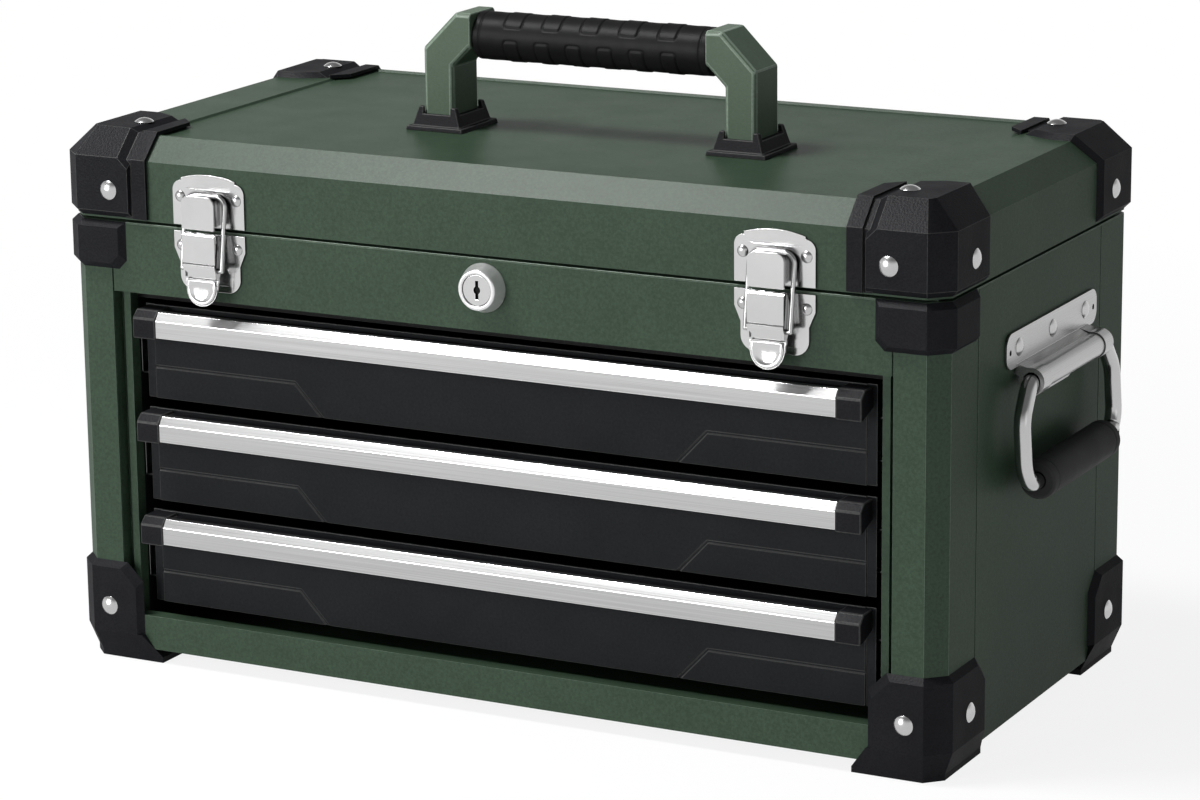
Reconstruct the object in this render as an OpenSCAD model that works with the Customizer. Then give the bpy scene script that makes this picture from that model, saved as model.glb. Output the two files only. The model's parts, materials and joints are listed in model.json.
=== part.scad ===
// Portable sheet-steel tool box: three drawers under a hinged lid with a tray inside,
// plastic corner guards, two toggle latches, a cam lock and three carrying handles.
// Millimetres. +X is the right-hand side, the drawers face -Y, +Z is up.
// The origin lies on the floor, under the middle of the steel cabinet.

/* [Cabinet] */
// Outside width of the steel cabinet
body_w = 520; // [490:1:600]
// Outside depth of the steel cabinet
body_d = 260; // [250:1:320]
// Size of the chamfer on each upright corner, along one side
corner_cut = 9.6; // [7:0.1:13]
// Thickness of the sheet steel
sheet = 1; // [0.8:0.1:1.4]
// Height of the cabinet's underside above the floor
foot_h = 8; // [6:0.5:12]
// Height of the front rail under the drawers
low_rail_h = 19.3; // [16:0.1:26]
// Height of the front rail above the drawers
top_rail_h = 39.1; // [38:0.1:50]
// Width of a corner post on the front
post_front = 27.3; // [25:0.1:32]
// Width of a corner post on the side
post_side = 43.7; // [36:0.1:50]
// Width of the groove between a corner post and its neighbour
post_groove = 1; // [0.6:0.1:2]
// Width of the deep groove between a post and its door jamb
jamb_groove = 3.7; // [2.6:0.1:5]
// Visible width of the door jamb
jamb_w = 4.2; // [3:0.1:6]
// How far the door jamb lies behind the posts
jamb_set = 5; // [3:0.1:6.5]

/* [Lid] */
// Height of the lid from the seam to its top
lid_h = 45.4; // [40:0.1:60]
// Open gap between the cabinet's rim and the lid
seam_gap = 1.5; // [1:0.1:2.5]
// Size of the 45 degree chamfer round the lid's top
lid_cut = 12.4; // [10:0.1:16]
// Width of the raised border at each side of the lid's top
lid_border = 44; // [40:1:60]
// Depth of the sunk panel in the lid's top
lid_sink = 1.2; // [0.8:0.1:2]
// Height that the tray's wall stands up inside the lid
tray_lip = 7.4; // [5:0.1:10]
// Gap between the tray's square corners and the cabinet's sheet
tray_gap = 0.5; // [0.4:0.1:3]

/* [Drawers] */
// Height of a drawer front
front_h = 53.1; // [50:0.1:70]
// Gap between two drawer fronts
front_gap = 5.5; // [4:0.1:8]
// Gap under the lowest drawer front
sill_gap = 5.9; // [4:0.1:8]
// Gap above the top drawer front
head_gap = 8; // [7:0.1:10]
// Gap between a drawer front and the jamb
side_gap = 5.6; // [4:0.1:8]
// How far the drawer faces lie behind the corner posts
face_set = 10.6; // [9:0.1:14]
// Width of the lower border at each end of a drawer face
face_border = 5.5; // [4:0.1:8]
// Height of the raised middle of a drawer face
face_raise = 1; // [0.6:0.1:1.4]
// Width of the pressed line on a drawer face
line_w = 1.6; // [1:0.1:2.4]
// Depth of the pressed line on a drawer face
line_d = 0.7; // [0.4:0.1:0.9]
// Height of the pressed line above the bottom of a drawer face
line_h = 18; // [14:0.5:22]
// Distance from the middle to where the pressed line turns down
line_turn = 124; // [100:1:150]
// Sideways run of the pressed line's slanted end
line_run = 17; // [10:1:24]
// Room between a drawer box and the cabinet's back
box_back = 23.4; // [20:0.2:45]
// Height of a drawer box
box_h = 44; // [36:0.5:45]
// Wall of a drawer box
box_wall = 0.8; // [0.7:0.1:1.2]
// Height of a slide channel
slide_h = 23.4; // [18:0.2:28]
// Room between a drawer box and the frame that carries it
slide_room = 14; // [12:0.5:16]

/* [Pulls] */
// Height of the aluminium strip on a drawer pull
strip_h = 14; // [12:0.1:17]
// Thickness of the aluminium strip
strip_t = 2; // [1.2:0.1:2.6]
// Distance from a drawer face to the front of its pull
pull_d = 14.8; // [13:0.1:18]
// Height of the slanted upper part of the strip
strip_cut_h = 4.4; // [3:0.1:6]
// Depth of the slanted upper part of the strip
strip_cut_d = 3.2; // [2:0.1:4]
// Length of the plastic cap at each end of a pull
pull_cap = 14.5; // [10:0.5:20]
// Gap between a pull's end and the end of the drawer front
pull_inset = 1.7; // [1:0.1:4]
// Wall of the plastic pull rail
pull_wall = 2; // [1.6:0.1:2.6]

/* [Corner guards] */
// How far the plastic guards stand proud of the steel
guard_t = 3.3; // [2.6:0.1:4]
// Thickness of the lower flange of a lid guard
flange_t = 2.2; // [1.6:0.1:2.5]
// Reach of a lid guard along the front, from the cabinet's side
guard_x = 42.5; // [38:0.5:50]
// Width of the lid guard's lower flange
flange_w = 10; // [6:0.5:14]
// Reach of a lid guard along the side, from the cabinet's front
guard_y = 53; // [46:0.5:60]
// Reach of a lid guard on the top, from the cabinet's front
guard_top_y = 61; // [56:0.5:66]
// Height of a foot guard above the floor
foot_guard_h = 56.5; // [50:0.5:66]
// Gap between a foot guard and the drawer that passes it
foot_gap = 0.8; // [0.5:0.1:3]
// Reach of a foot guard along the side, from the cabinet's front
foot_y = 54; // [46:0.5:60]
// Height of the slanted part at the bottom of a foot guard
foot_slant = 16; // [14:0.5:20]
// Inward slope of the slanted part at the bottom of a foot guard
foot_draw = 5; // [3:0.5:6]
// Height of the caps under the seam
cap_h = 26.6; // [20:0.2:34]
// Reach of the caps under the seam along the front, from the cabinet's side
cap_x = 37.3; // [34:0.1:44]
// Reach of the caps under the seam along the side, from the cabinet's front
cap_y = 41; // [34:0.5:50]
// Height of the upright lip at the bottom of a foot guard
foot_lip = 3.2; // [2:0.1:5]
// How far a foot guard's bottom reaches inwards past its pad
foot_toe = 10; // [6:0.5:14]
// Diameter of the large domed rivets
rivet_d = 11; // [8:0.2:12]
// Height of the large rivets' domes
rivet_h = 2.2; // [1.4:0.1:3]
// Diameter of all rivet shanks
shank_d = 4.8; // [4:0.1:5]

/* [Latches] */
// Distance of each latch from the cabinet's side
latch_in = 92; // [88:1:130]
// Width of the latch plates
latch_w = 45; // [44:0.5:50]
// Thickness of the latch plates
latch_t = 1.2; // [1:0.1:1.5]
// Height of the pressed middle of the latch plates
latch_raise = 1; // [0.6:0.1:1.2]
// Width of the lever and of the hook cover
lever_w = 20.2; // [18:0.2:21]
// Distance of the lever's front from the cabinet's face
lever_d = 12.4; // [12:0.1:13]
// Diameter of the latch's wire
wire_d = 2.5; // [2:0.1:2.6]
// Diameter of the small domed rivets
small_rivet_d = 6.5; // [5.4:0.1:7]

/* [Lock] */
// Diameter of the lock's bezel at the cabinet
bezel_d = 26; // [24:0.2:27]
// Diameter of the bezel's face
bezel_face_d = 20.5; // [19:0.1:22]
// Height of the bezel
bezel_h = 8; // [6:0.2:10]
// Diameter of the turning plug
plug_d = 16.6; // [14:0.1:17]
// Diameter of the threaded body behind the bezel
barrel_d = 20; // [19:0.2:21]

/* [Top handle] */
// Distance between the middles of the handle's two legs
handle_span = 182; // [160:1:200]
// Distance of the handle in front of the cabinet's middle
handle_fore = 21; // [0:1:24]
// Distance of the handle to the right of the cabinet's middle
handle_side = 12; // [0:1:14]
// Height of the handle above the lid's top
handle_rise = 64; // [58:0.5:75]
// Width of a handle leg
leg_w = 18.5; // [16:0.5:22]
// Depth of a handle leg, front to back
leg_d = 29; // [26:0.5:32]
// Chamfer along the edges of the handle's frame
leg_cut = 1.8; // [1:0.1:3]
// Size of the slanted outer corner of the handle
bend_cut = 20; // [16:0.5:24]
// Size of the slanted inner corner of the handle
bend_in = 10.5; // [8:0.5:14]
// Straight run of the handle's frame between its inner corner and the grip
stub_l = 0.5; // [0.5:0.5:6]
// Diameter of the rubber grip
grip_d = 27; // [25:0.5:31]
// Diameter of the steel core inside the grip
core_d = 14; // [10:0.5:16]
// Height of the plastic shoes on the legs
shoe_h = 13; // [11:0.5:18]

/* [Side handles] */
// Length of the side handle's plate
plate_l = 128; // [120:1:134]
// Distance of the side handle behind the cabinet's middle
plate_back = 13; // [0:1:20]
// Height of the side handle's pivot above the floor
pivot_h = 192; // [180:1:198]
// Distance of the side handle's pivot from the cabinet's side
pivot_out = 9.5; // [9:0.1:12]
// Outside diameter of the rolled sleeve
sleeve_d = 13; // [12.6:0.1:14]
// Length of the rolled sleeve between the plate's two ears
sleeve_l = 77; // [70:1:84]
// Length of each ear beside the sleeve
ear_l = 11.5; // [9:0.5:14]
// How far each leg of the side handle stands outside its ear
leg_step = 15; // [11:0.5:16]
// Diameter of the handle's wire
bail_d = 9; // [8:0.1:10]
// Drop from the pivot to the middle of the grip
bail_drop = 53; // [46:1:60]
// Angle at which the handle leans out when it hangs
bail_lean = 3.5; // [3:0.5:6]
// Diameter of the handle's rubber sleeve
bail_grip_d = 20.5; // [18:0.5:21]
// Length of the handle's rubber sleeve
bail_grip_l = 96; // [80:1:100]

/* [Hinge] */
// Outside diameter of the hinge's knuckles
knuckle_d = 6.4; // [5.8:0.2:6.8]
// Diameter of the hinge pin
hinge_pin_d = 3.2; // [2.4:0.1:3.4]
// Number of knuckles, cabinet and lid together
knuckles = 15; // [9:2:21]
// Gap between the hinge and the lid's rear guards
hinge_gap = 12.5; // [6:0.5:30]
// Height of each hinge leaf
leaf_h = 15; // [12:0.5:20]

/* [Hidden] */
$fn = 48;
eps = 0.02;
root2 = sqrt(2);
// Running gap between pieces that slide or turn on each other
run_gap = 0.5;
// Gap round a shank or a leg that stands in a hole
fit_gap = 0.1;
// Hairline between plates that are welded edge to edge
weld_gap = 0.1;

half_w = body_w / 2;
half_d = body_d / 2;
sill_z = foot_h + low_rail_h;
head_z = sill_z + sill_gap + 3 * front_h + 2 * front_gap + head_gap;
rim_z = head_z + top_rail_h;
lid_z = rim_z + seam_gap;
top_z = lid_z + lid_h;
shoulder_z = top_z - lid_cut;
panel_z = top_z - lid_sink;
// Depth of the door jamb's inner return, which ends in front of the slides
jamb_deep = face_set - jamb_set + 2;
// Depth of the fold behind the deep groove, and of the lower rail's inward flange
jamb_fold = 4;
sill_flange = 9;
// Foot flange of the drawer frame, height of its rear tie and gap over the top drawer
frame_foot = 14;
rear_tie_h = 24;
drawer_gap = 2.5;
// The diagonal half width, across two chamfered upright corners
half_diag = (half_w + half_d - corner_cut) / root2;

post_x = half_w - post_front;
post_y = half_d - post_side;
open_x = post_x - jamb_groove - jamb_w;
front_x = open_x - side_gap;
face_y = -half_d + face_set;
frame_x = open_x + sheet;
latch_x = half_w - latch_in;
box_x = frame_x - slide_room;
box_y = face_y + face_raise + sheet;
box_d = half_d - 2 * sheet - box_back - box_y;
// The tray is square-cornered and stays inside the sheet behind the corner posts
tray_in = (corner_cut + root2 * (2 * sheet + tray_gap)) / 2;
tray_x = half_w - tray_in;
tray_y = half_d - tray_in;

function drawer_z(i) = sill_z + sill_gap + (2 - i) * (front_h + front_gap);

// ---------------------------------------------------------------- outlines

// Plan of the cabinet, grown outwards by o
module plan(o) {
    a = half_w + o;
    b = half_d + o;
    k = corner_cut + o * (2 - root2);
    polygon([
        [a, -b + k], [a, b - k], [a - k, b], [-a + k, b],
        [-a, b - k], [-a, -b + k], [-a + k, -b], [a - k, -b]
    ]);
}

module plan_block(o, z0, z1) {
    translate([0, 0, z0]) linear_extrude(z1 - z0) plan(o);
}

// Upright outline of the lid across a half width, grown outwards by o
module lid_outline(half, o, z0) {
    a = half + o;
    t = top_z + o;
    k = lid_cut + o * (2 - root2);
    polygon([[-a, z0], [a, z0], [a, t - k], [a - k, t], [-a + k, t], [-a, t - k]]);
}

module lid_slab(turn, half, o, z0) {
    rotate([90, 0, turn])
        linear_extrude(4 * half_w, center = true) lid_outline(half, o, z0);
}

// The lid's chamfered block, grown outwards by o
module lid_block(o, z0) {
    intersection() {
        plan_block(o, z0, top_z + o + 1);
        lid_slab(0, half_w, o, z0);
        lid_slab(90, half_d, o, z0);
        lid_slab(45, half_diag, o, z0);
        lid_slab(-45, half_diag, o, z0);
    }
}

module box(x0, x1, y0, y1, z0, z1) {
    translate([x0, y0, z0]) cube([x1 - x0, y1 - y0, z1 - z0]);
}

module both_sides() {
    children();
    mirror([1, 0, 0]) children();
}

// Puts a piece made for the front right corner at another corner
module at_corner(sx, sy) {
    mirror([sx < 0 ? 1 : 0, 0, 0]) mirror([0, sy > 0 ? 1 : 0, 0]) children();
}

// A convex piece between a polygon on the steel and a polygon above it
module cell(base, top) {
    n = len(base);
    polyhedron(
        points = concat(base, top),
        faces = concat(
            [[for (i = [0:n - 1]) i]],
            [[for (i = [n - 1:-1:0]) n + i]],
            [for (i = [0:n - 1]) [(i + 1) % n, i, n + i, n + (i + 1) % n]]
        )
    );
}

// ---------------------------------------------------------------- fasteners

function cap_radius(r, h) = (r * r + h * h) / (2 * h);

// A domed head on z = 0 with its shank below
module rivet(d, h, grip) {
    big = cap_radius(d / 2, h);
    intersection() {
        translate([0, 0, h - big]) sphere(big, $fn = 64);
        cylinder(h + 1, d = d + 1);
    }
    translate([0, 0, -grip]) cylinder(grip + eps, d = shank_d, $fn = 24);
}

module shank_hole(grip) {
    translate([0, 0, -grip - 1]) cylinder(grip + 2, d = shank_d + 2 * fit_gap, $fn = 24);
}

// Turn the drawing's +Z towards the front, the right-hand side or the top
module on_front(x, z, out) {
    translate([x, -half_d - out, z]) rotate([90, 0, 0]) children();
}
module on_right(y, z, out) {
    translate([half_w + out, y, z]) rotate([0, 90, 0]) children();
}
module on_top(x, y, out) {
    translate([x, y, top_z + out]) children();
}

// Each rivet sits near the middle of the guard's facet that it holds
lid_rivet_x = half_w - (guard_x + corner_cut) / 2 - 3;
lid_rivet_y = -half_d + (guard_y + corner_cut) / 2 + 0.7;
lid_rivet_z = lid_z + (lid_h - lid_cut) / 2 - 0.5;
top_rivet_x = half_w - (guard_x + lid_cut) / 2 - 4.5;
top_rivet_y = -half_d + (guard_top_y + lid_cut) / 2 - 6.7;
foot_rivet_x = (half_w + front_x + foot_gap) / 2 + 1;
foot_rivet_y = -half_d + (foot_y + corner_cut) / 2 - 0.8;
foot_rivet_z = foot_slant + 15;
guard_grip = guard_t + sheet + 1;
foot_grip = guard_t + 2 * sheet + 1;

// Every guard rivet of the front right corner: children get the rivet or its hole
module lid_guard_spots() {
    on_front(lid_rivet_x, lid_rivet_z, guard_t) children();
    on_right(lid_rivet_y, lid_rivet_z, guard_t) children();
    on_top(top_rivet_x, top_rivet_y, guard_t) children();
}
module foot_guard_spots() {
    on_front(foot_rivet_x, foot_rivet_z, guard_t) children();
    on_right(foot_rivet_y, foot_rivet_z, guard_t) children();
}
module all_corners() {
    for (sx = [-1, 1], sy = [-1, 1]) at_corner(sx, sy) children();
}

// ---------------------------------------------------------------- cabinet

// Folded jamb beside a front post: bare plan, right-hand side
module jamb_plan() {
    back = -half_d + jamb_set + jamb_fold;
    x1 = post_x - jamb_groove;
    translate([post_x, -half_d + sheet]) square([sheet, jamb_set + jamb_fold]);
    translate([x1 - sheet, back]) square([jamb_groove + 2 * sheet, sheet]);
    translate([x1 - sheet, -half_d + jamb_set]) square([sheet, jamb_fold + sheet]);
    translate([open_x, -half_d + jamb_set]) square([jamb_w, sheet]);
    translate([open_x, -half_d + jamb_set]) square([sheet, jamb_deep]);
}

module cabinet_shell() {
    side_y = post_y - post_groove;
    rail_x = post_x - post_groove;
    color("#44533f") difference() {
        union() {
            difference() {
                union() {
                    plan_block(-sheet, foot_h, rim_z - sheet);
                    // Side, back and front panels stand level with the posts
                    box(-half_w, half_w, -side_y, side_y, foot_h, rim_z - sheet);
                    box(-rail_x, rail_x, 0, half_d, foot_h, rim_z - sheet);
                    box(-rail_x, rail_x, -half_d, 0, foot_h, sill_z);
                }
                plan_block(-2 * sheet, foot_h + sheet, rim_z);
                // Drawer opening, and the place of the upper front rail
                box(-post_x, post_x, -half_d - 1, 0, sill_z, rim_z);
                box(-half_w + corner_cut + 1, half_w - corner_cut - 1,
                    -half_d - 1, 0, head_z, rim_z);
            }
            // Inward flange of the lower front rail
            box(-post_x, post_x, -half_d + sheet, -half_d + sill_flange, sill_z - sheet, sill_z);
            both_sides() translate([0, 0, sill_z - sheet])
                linear_extrude(head_z - sill_z + sheet) jamb_plan();
        }
        all_corners() foot_guard_spots() shank_hole(foot_grip);
        both_sides() side_handle_spots() shank_hole(plate_grip);
    }
}

module corner_post(sx, sy) {
    color("#44533f") at_corner(sx, sy) difference() {
        intersection() {
            plan_block(0, foot_h, rim_z - sheet);
            box(post_x, half_w + 1, -half_d - 1, -post_y, 0, rim_z);
        }
        plan_block(-sheet, 0, rim_z);
        foot_guard_spots() shank_hole(foot_grip);
    }
}

module upper_front_rail() {
    rail_x = post_x - post_groove;
    color("#44533f") difference() {
        union() {
            box(-rail_x, rail_x, -half_d, -half_d + sheet + eps, head_z, rim_z - sheet);
            box(-half_w + corner_cut + 2, half_w - corner_cut - 2,
                -half_d + sheet, -half_d + 2 * sheet, head_z, rim_z - sheet);
            box(-rail_x, rail_x, -half_d, face_y + 2, head_z, head_z + sheet);
        }
        lock_bore(barrel_d + 2 * fit_gap);
        both_sides() latch_base_spots() shank_hole(latch_grip);
    }
}

module drawer_frame() {
    lip_z = head_z - head_gap + drawer_gap;
    back_y = half_d - 2 * sheet - 5;
    front_y = -half_d + jamb_set + jamb_deep;
    color("#1b1c1d") {
        both_sides() {
            box(frame_x, frame_x + sheet, front_y, back_y, foot_h + sheet, head_z + sheet);
            box(frame_x, frame_x + frame_foot, front_y + sill_flange, back_y,
                foot_h + sheet, foot_h + 2 * sheet);
        }
        box(-frame_x - eps, frame_x + eps, front_y, front_y + sheet, lip_z, head_z);
        box(-frame_x - eps, frame_x + eps, back_y - sheet, back_y,
            head_z - rear_tie_h, head_z);
    }
}

// Open tray of welded plates: floor, two long walls, two end walls and a flat rim
module top_tray() {
    floor_z = head_z + sheet;
    wall_z = floor_z + sheet + weld_gap;
    wall_top = lid_z + tray_lip - seam_gap;
    end_y = tray_y - sheet - weld_gap;
    rim_x = tray_x + weld_gap;
    rim_y = tray_y + weld_gap;
    color("#44533f") difference() {
        union() {
            box(-tray_x, tray_x, -tray_y, tray_y, floor_z, floor_z + sheet);
            box(-tray_x, tray_x, -tray_y, -tray_y + sheet, wall_z, wall_top);
            box(-tray_x, tray_x, tray_y - sheet, tray_y, wall_z, wall_top);
            both_sides() box(tray_x - sheet, tray_x, -end_y, end_y, wall_z, wall_top);
            difference() {
                plan_block(0, rim_z - sheet, rim_z);
                box(-rim_x, rim_x, -rim_y, rim_y, rim_z - 2 * sheet, rim_z + sheet);
            }
        }
        lock_bore(barrel_d + 2 * fit_gap);
    }
}

slide_mid = 24;
slide_gap = 2.8;
slide_y0 = face_y + 4;
// The channel reaches past the drawer box, and the slide on the box ends before it
slide_over = 6;
slide_len = box_d + slide_over;

// One C-shaped channel, open towards the middle of the cabinet, upright at x = 0
module channel(h, w, t, y0, len) {
    box(-t, 0, y0, y0 + len, -h / 2, h / 2);
    for (s = [-1, 1])
        translate([0, 0, s * (h - t) / 2]) box(-w, 0, y0, y0 + len, -t / 2, t / 2);
}

module slide_channels() {
    color("#b9bcc0") both_sides() for (i = [0:2])
        translate([frame_x, 0, drawer_z(i) + slide_mid])
            channel(slide_h, slide_room - slide_gap, sheet, slide_y0, slide_len);
}

// ---------------------------------------------------------------- guards

// Corner points of the lid's planes, grown by t, for the front right corner
k_sum = half_w + half_d - corner_cut + root2 * shoulder_z;
function fv(z, t) = [half_w - corner_cut + (root2 - 1) * t, -half_d - t, z];
function sv(z, t) = [half_w + t, -half_d + corner_cut - (root2 - 1) * t, z];
function cut_y(t) = half_d - lid_cut + (root2 - 1) * t;
function cut_x(t) = half_w - lid_cut + (root2 - 1) * t;
function shoulder(t) = shoulder_z + (root2 - 1) * t;
function fk(t) = [
    k_sum + 2 * t - root2 * (top_z + t) - cut_y(t), -cut_y(t), top_z + t
];
function sk(t) = [
    cut_x(t), -(k_sum + 2 * t - root2 * (top_z + t) - cut_x(t)), top_z + t
];

// A strip of the lid guard between two distances from the middle
module guard_strip(x0, x1, t, z0, back_y) {
    y = -half_d - t;
    cell(
        [[x0, -half_d, z0], [x1, -half_d, z0],
            [x1, -half_d, shoulder(0)], [x0, -half_d, shoulder(0)]],
        [[x0, y, z0], [x1, y, z0], [x1, y, shoulder(t)], [x0, y, shoulder(t)]]
    );
    cell(
        [[x0, -half_d, shoulder(0)], [x1, -half_d, shoulder(0)],
            [x1, -cut_y(0), top_z], [x0, -cut_y(0), top_z]],
        [[x0, y, shoulder(t)], [x1, y, shoulder(t)],
            [x1, -cut_y(t), top_z + t], [x0, -cut_y(t), top_z + t]]
    );
    cell(
        [[x0, -cut_y(0), top_z], [x1, -cut_y(0), top_z],
            [x1, back_y, top_z], [x0, back_y - (x1 - x0), top_z]],
        [[x0, -cut_y(t), top_z + t], [x1, -cut_y(t), top_z + t],
            [x1, back_y, top_z + t], [x0, back_y - (x1 - x0), top_z + t]]
    );
}

// Width of the pad's slanted inner edge on the lid's shoulder, and where its top is cut
pad_slant = 7;
pad_top_cut = 18;
pad_top_run = 9;

// The raised pad of the lid guard: seven facets round the corner
module guard_pad(x0, t, z0) {
    bevel = t;
    x1 = x0 + 1;
    x7 = x0 + pad_slant;
    y0 = -half_d;
    y1 = -half_d - t;
    side_y = -half_d + guard_y;
    top_y = -half_d + guard_top_y;
    w1 = half_w + t;
    cell(
        [[x0, y0, z0], fv(z0, 0), fv(shoulder(0), 0),
            [x1, y0, shoulder(0)], [x0, y0, shoulder(0) - 1]],
        [[x1, y1, z0 + bevel], fv(z0 + bevel, t), fv(shoulder(t), t),
            [x7, y1, shoulder(t)], [x1, y1, shoulder(t) - pad_slant + 1]]
    );
    cell(
        [[x1, y0, shoulder(0)], fv(shoulder(0), 0), fk(0), [x1, -cut_y(0), top_z]],
        [[x7, y1, shoulder(t)], fv(shoulder(t), t), fk(t), [x7, -cut_y(t), top_z + t]]
    );
    cell(
        [fv(z0, 0), sv(z0, 0), sv(shoulder(0), 0), fv(shoulder(0), 0)],
        [fv(z0 + bevel, t), sv(z0 + bevel, t), sv(shoulder(t), t), fv(shoulder(t), t)]
    );
    cell(
        [fv(shoulder(0), 0), sv(shoulder(0), 0), sk(0), fk(0)],
        [fv(shoulder(t), t), sv(shoulder(t), t), sk(t), fk(t)]
    );
    cell(
        [sv(z0, 0), [half_w, side_y, z0],
            [half_w, side_y, shoulder(0)], sv(shoulder(0), 0)],
        [sv(z0 + bevel, t), [w1, side_y - bevel, z0 + bevel],
            [w1, side_y - bevel, shoulder(t)], sv(shoulder(t), t)]
    );
    cell(
        [sv(shoulder(0), 0), [half_w, side_y, shoulder(0)],
            [cut_x(0), top_y, top_z], sk(0)],
        [sv(shoulder(t), t), [w1, side_y - bevel, shoulder(t)],
            [cut_x(t), top_y - bevel, top_z + t], sk(t)]
    );
    cell(
        [[x1, -cut_y(0), top_z], fk(0), sk(0), [cut_x(0), top_y, top_z],
            [x0 + pad_top_cut, top_y, top_z], [x1, top_y - pad_top_run, top_z]],
        [[x7, -cut_y(t), top_z + t], fk(t), sk(t), [cut_x(t), top_y - bevel, top_z + t],
            [x0 + pad_top_cut + 1, top_y - bevel, top_z + t],
            [x7, top_y - bevel - pad_top_run + 3, top_z + t]]
    );
}

// Height of a lid guard's lower edge above the lid's
guard_lift = 0.9;

module lid_corner(sx, sy) {
    x0 = half_w - guard_x;
    z0 = lid_z + guard_lift;
    groove = 1.1;
    back = -half_d + guard_top_y;
    color("#2c2d2f") at_corner(sx, sy) difference() {
        union() {
            guard_pad(x0, guard_t, z0);
            guard_strip(x0 - flange_w, x0 - groove, flange_t, z0, back - 8);
            guard_strip(x0 - groove, x0 + 4, flange_t - 1.4, z0, back - 12);
        }
        lid_guard_spots() shank_hole(guard_grip);
    }
}

// Wrap-round pad on the upright part of a corner between two heights
module wall_pad(x0, y_reach, z0, z1, t, lift, low_cut, high_cut) {
    y0 = -half_d;
    y1 = -half_d - t;
    w1 = half_w + t;
    sy0 = -half_d + y_reach;
    sy1 = sy0 - t;
    x1 = x0 + t;
    za = z0 + lift;
    zb = z1 - t;
    cell(
        [[x0, y0, z0 + low_cut], [x0 + low_cut, y0, z0], fv(z0, 0), fv(z1, 0),
            [x0 + high_cut, y0, z1], [x0, y0, z1 - high_cut]],
        [[x1, y1, za + low_cut], [x1 + low_cut, y1, za], fv(za, t), fv(zb, t),
            [x1 + high_cut, y1, zb], [x1, y1, zb - high_cut]]
    );
    cell([fv(z0, 0), sv(z0, 0), sv(z1, 0), fv(z1, 0)],
        [fv(za, t), sv(za, t), sv(zb, t), fv(zb, t)]);
    cell(
        [sv(z0, 0), [half_w, sy0, z0], [half_w, sy0, z1 - high_cut],
            [half_w, sy0 - high_cut, z1], sv(z1, 0)],
        [sv(za, t), [w1, sy1, za], [w1, sy1, zb - high_cut],
            [w1, sy1 - high_cut, zb], sv(zb, t)]
    );
}

module seam_cap() {
    wall_pad(half_w - cap_x, cap_y, rim_z - cap_h, rim_z, guard_t, guard_t, 5, 0.01);
}

module seam_caps() {
    color("#2c2d2f") both_sides() seam_cap();
}

module foot_corner(sx, sy) {
    t = guard_t;
    x0 = front_x + foot_gap;
    y_reach = foot_y;
    inner_x = x0 - foot_toe;
    d = foot_draw;
    slant = foot_slant;
    // Outline of the upright lip at a height, drawn in from the pad above it
    function base_ring(z) = [
        [inner_x, -half_d - t + d, z], fv(z, t - d), sv(z, t - d),
        [half_w + t - d, -half_d + y_reach + 4, z], [inner_x, -half_d + y_reach + 4, z]
    ];
    color("#2c2d2f") at_corner(sx, sy) difference() {
        union() {
            wall_pad(x0, y_reach, slant, foot_guard_h, t, 0, 0.01, 10);
            cell(base_ring(0), base_ring(foot_lip));
            // Slanted part between the upright lip and the pad
            cell(
                base_ring(foot_lip),
                [[x0, -half_d - t, slant], fv(slant, t), sv(slant, t),
                    [half_w + t, -half_d + y_reach - t, slant],
                    [x0, -half_d + y_reach - t, slant]]
            );
        }
        plan_block(0, foot_h, foot_guard_h + 1);
        foot_guard_spots() shank_hole(foot_grip);
    }
}

// ---------------------------------------------------------------- lid

// Distance of the sunk panel from the lid's front and back
panel_front = lid_cut + 2;
panel_back = 13;

module lid_shell() {
    border_x = half_w - lid_border;
    front_y = -half_d + panel_front;
    rear_y = half_d - panel_back;
    color("#4a5a45") difference() {
        union() {
            difference() {
                lid_block(0, lid_z);
                lid_block(-sheet, lid_z - 1);
            }
            box(-border_x - sheet, border_x + sheet, front_y - sheet, rear_y + sheet,
                panel_z - sheet, top_z - eps);
        }
        // Sunk panel with slanted edges
        intersection() {
            rotate([90, 0, 0]) linear_extrude(body_d, center = true) polygon([
                [-border_x + lid_sink, panel_z], [border_x - lid_sink, panel_z],
                [border_x + 1, top_z + 1], [-border_x - 1, top_z + 1]
            ]);
            rotate([90, 0, 90]) linear_extrude(body_w, center = true) polygon([
                [front_y + lid_sink, panel_z], [rear_y - lid_sink, panel_z],
                [rear_y + 1, top_z + 1], [front_y - 1, top_z + 1]
            ]);
        }
        all_corners() lid_guard_spots() shank_hole(guard_grip);
        both_sides() latch_catch_spots() shank_hole(latch_grip);
        handle_bolt_spots() cylinder(2 * bolt_l, d = bolt_d + 2 * fit_gap, center = true);
    }
}

module lid_rivets() {
    color("#c9cbcc") {
        all_corners() lid_guard_spots() rivet(rivet_d, rivet_h, guard_grip);
        both_sides() latch_catch_spots() rivet(small_rivet_d, small_rivet_h, latch_grip);
    }
}

module cabinet_rivets() {
    color("#c9cbcc") {
        all_corners() foot_guard_spots() rivet(rivet_d, rivet_h, foot_grip);
        both_sides() {
            latch_base_spots() rivet(small_rivet_d, small_rivet_h, latch_grip);
            side_handle_spots() rivet(rivet_d - 1, rivet_h - 0.2, plate_grip);
        }
    }
}

// ---------------------------------------------------------------- hinge

hinge_y = half_d + knuckle_d / 2;
hinge_z = rim_z + seam_gap / 2;
hinge_l = 2 * (half_w - guard_x - flange_w - hinge_gap);
knuckle_l = hinge_l / knuckles;
knuckle_gap = 0.3;

module along_x(x0, x1, d) {
    translate([x0, hinge_y, hinge_z]) rotate([0, 90, 0]) cylinder(x1 - x0, d = d, $fn = 32);
}

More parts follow.
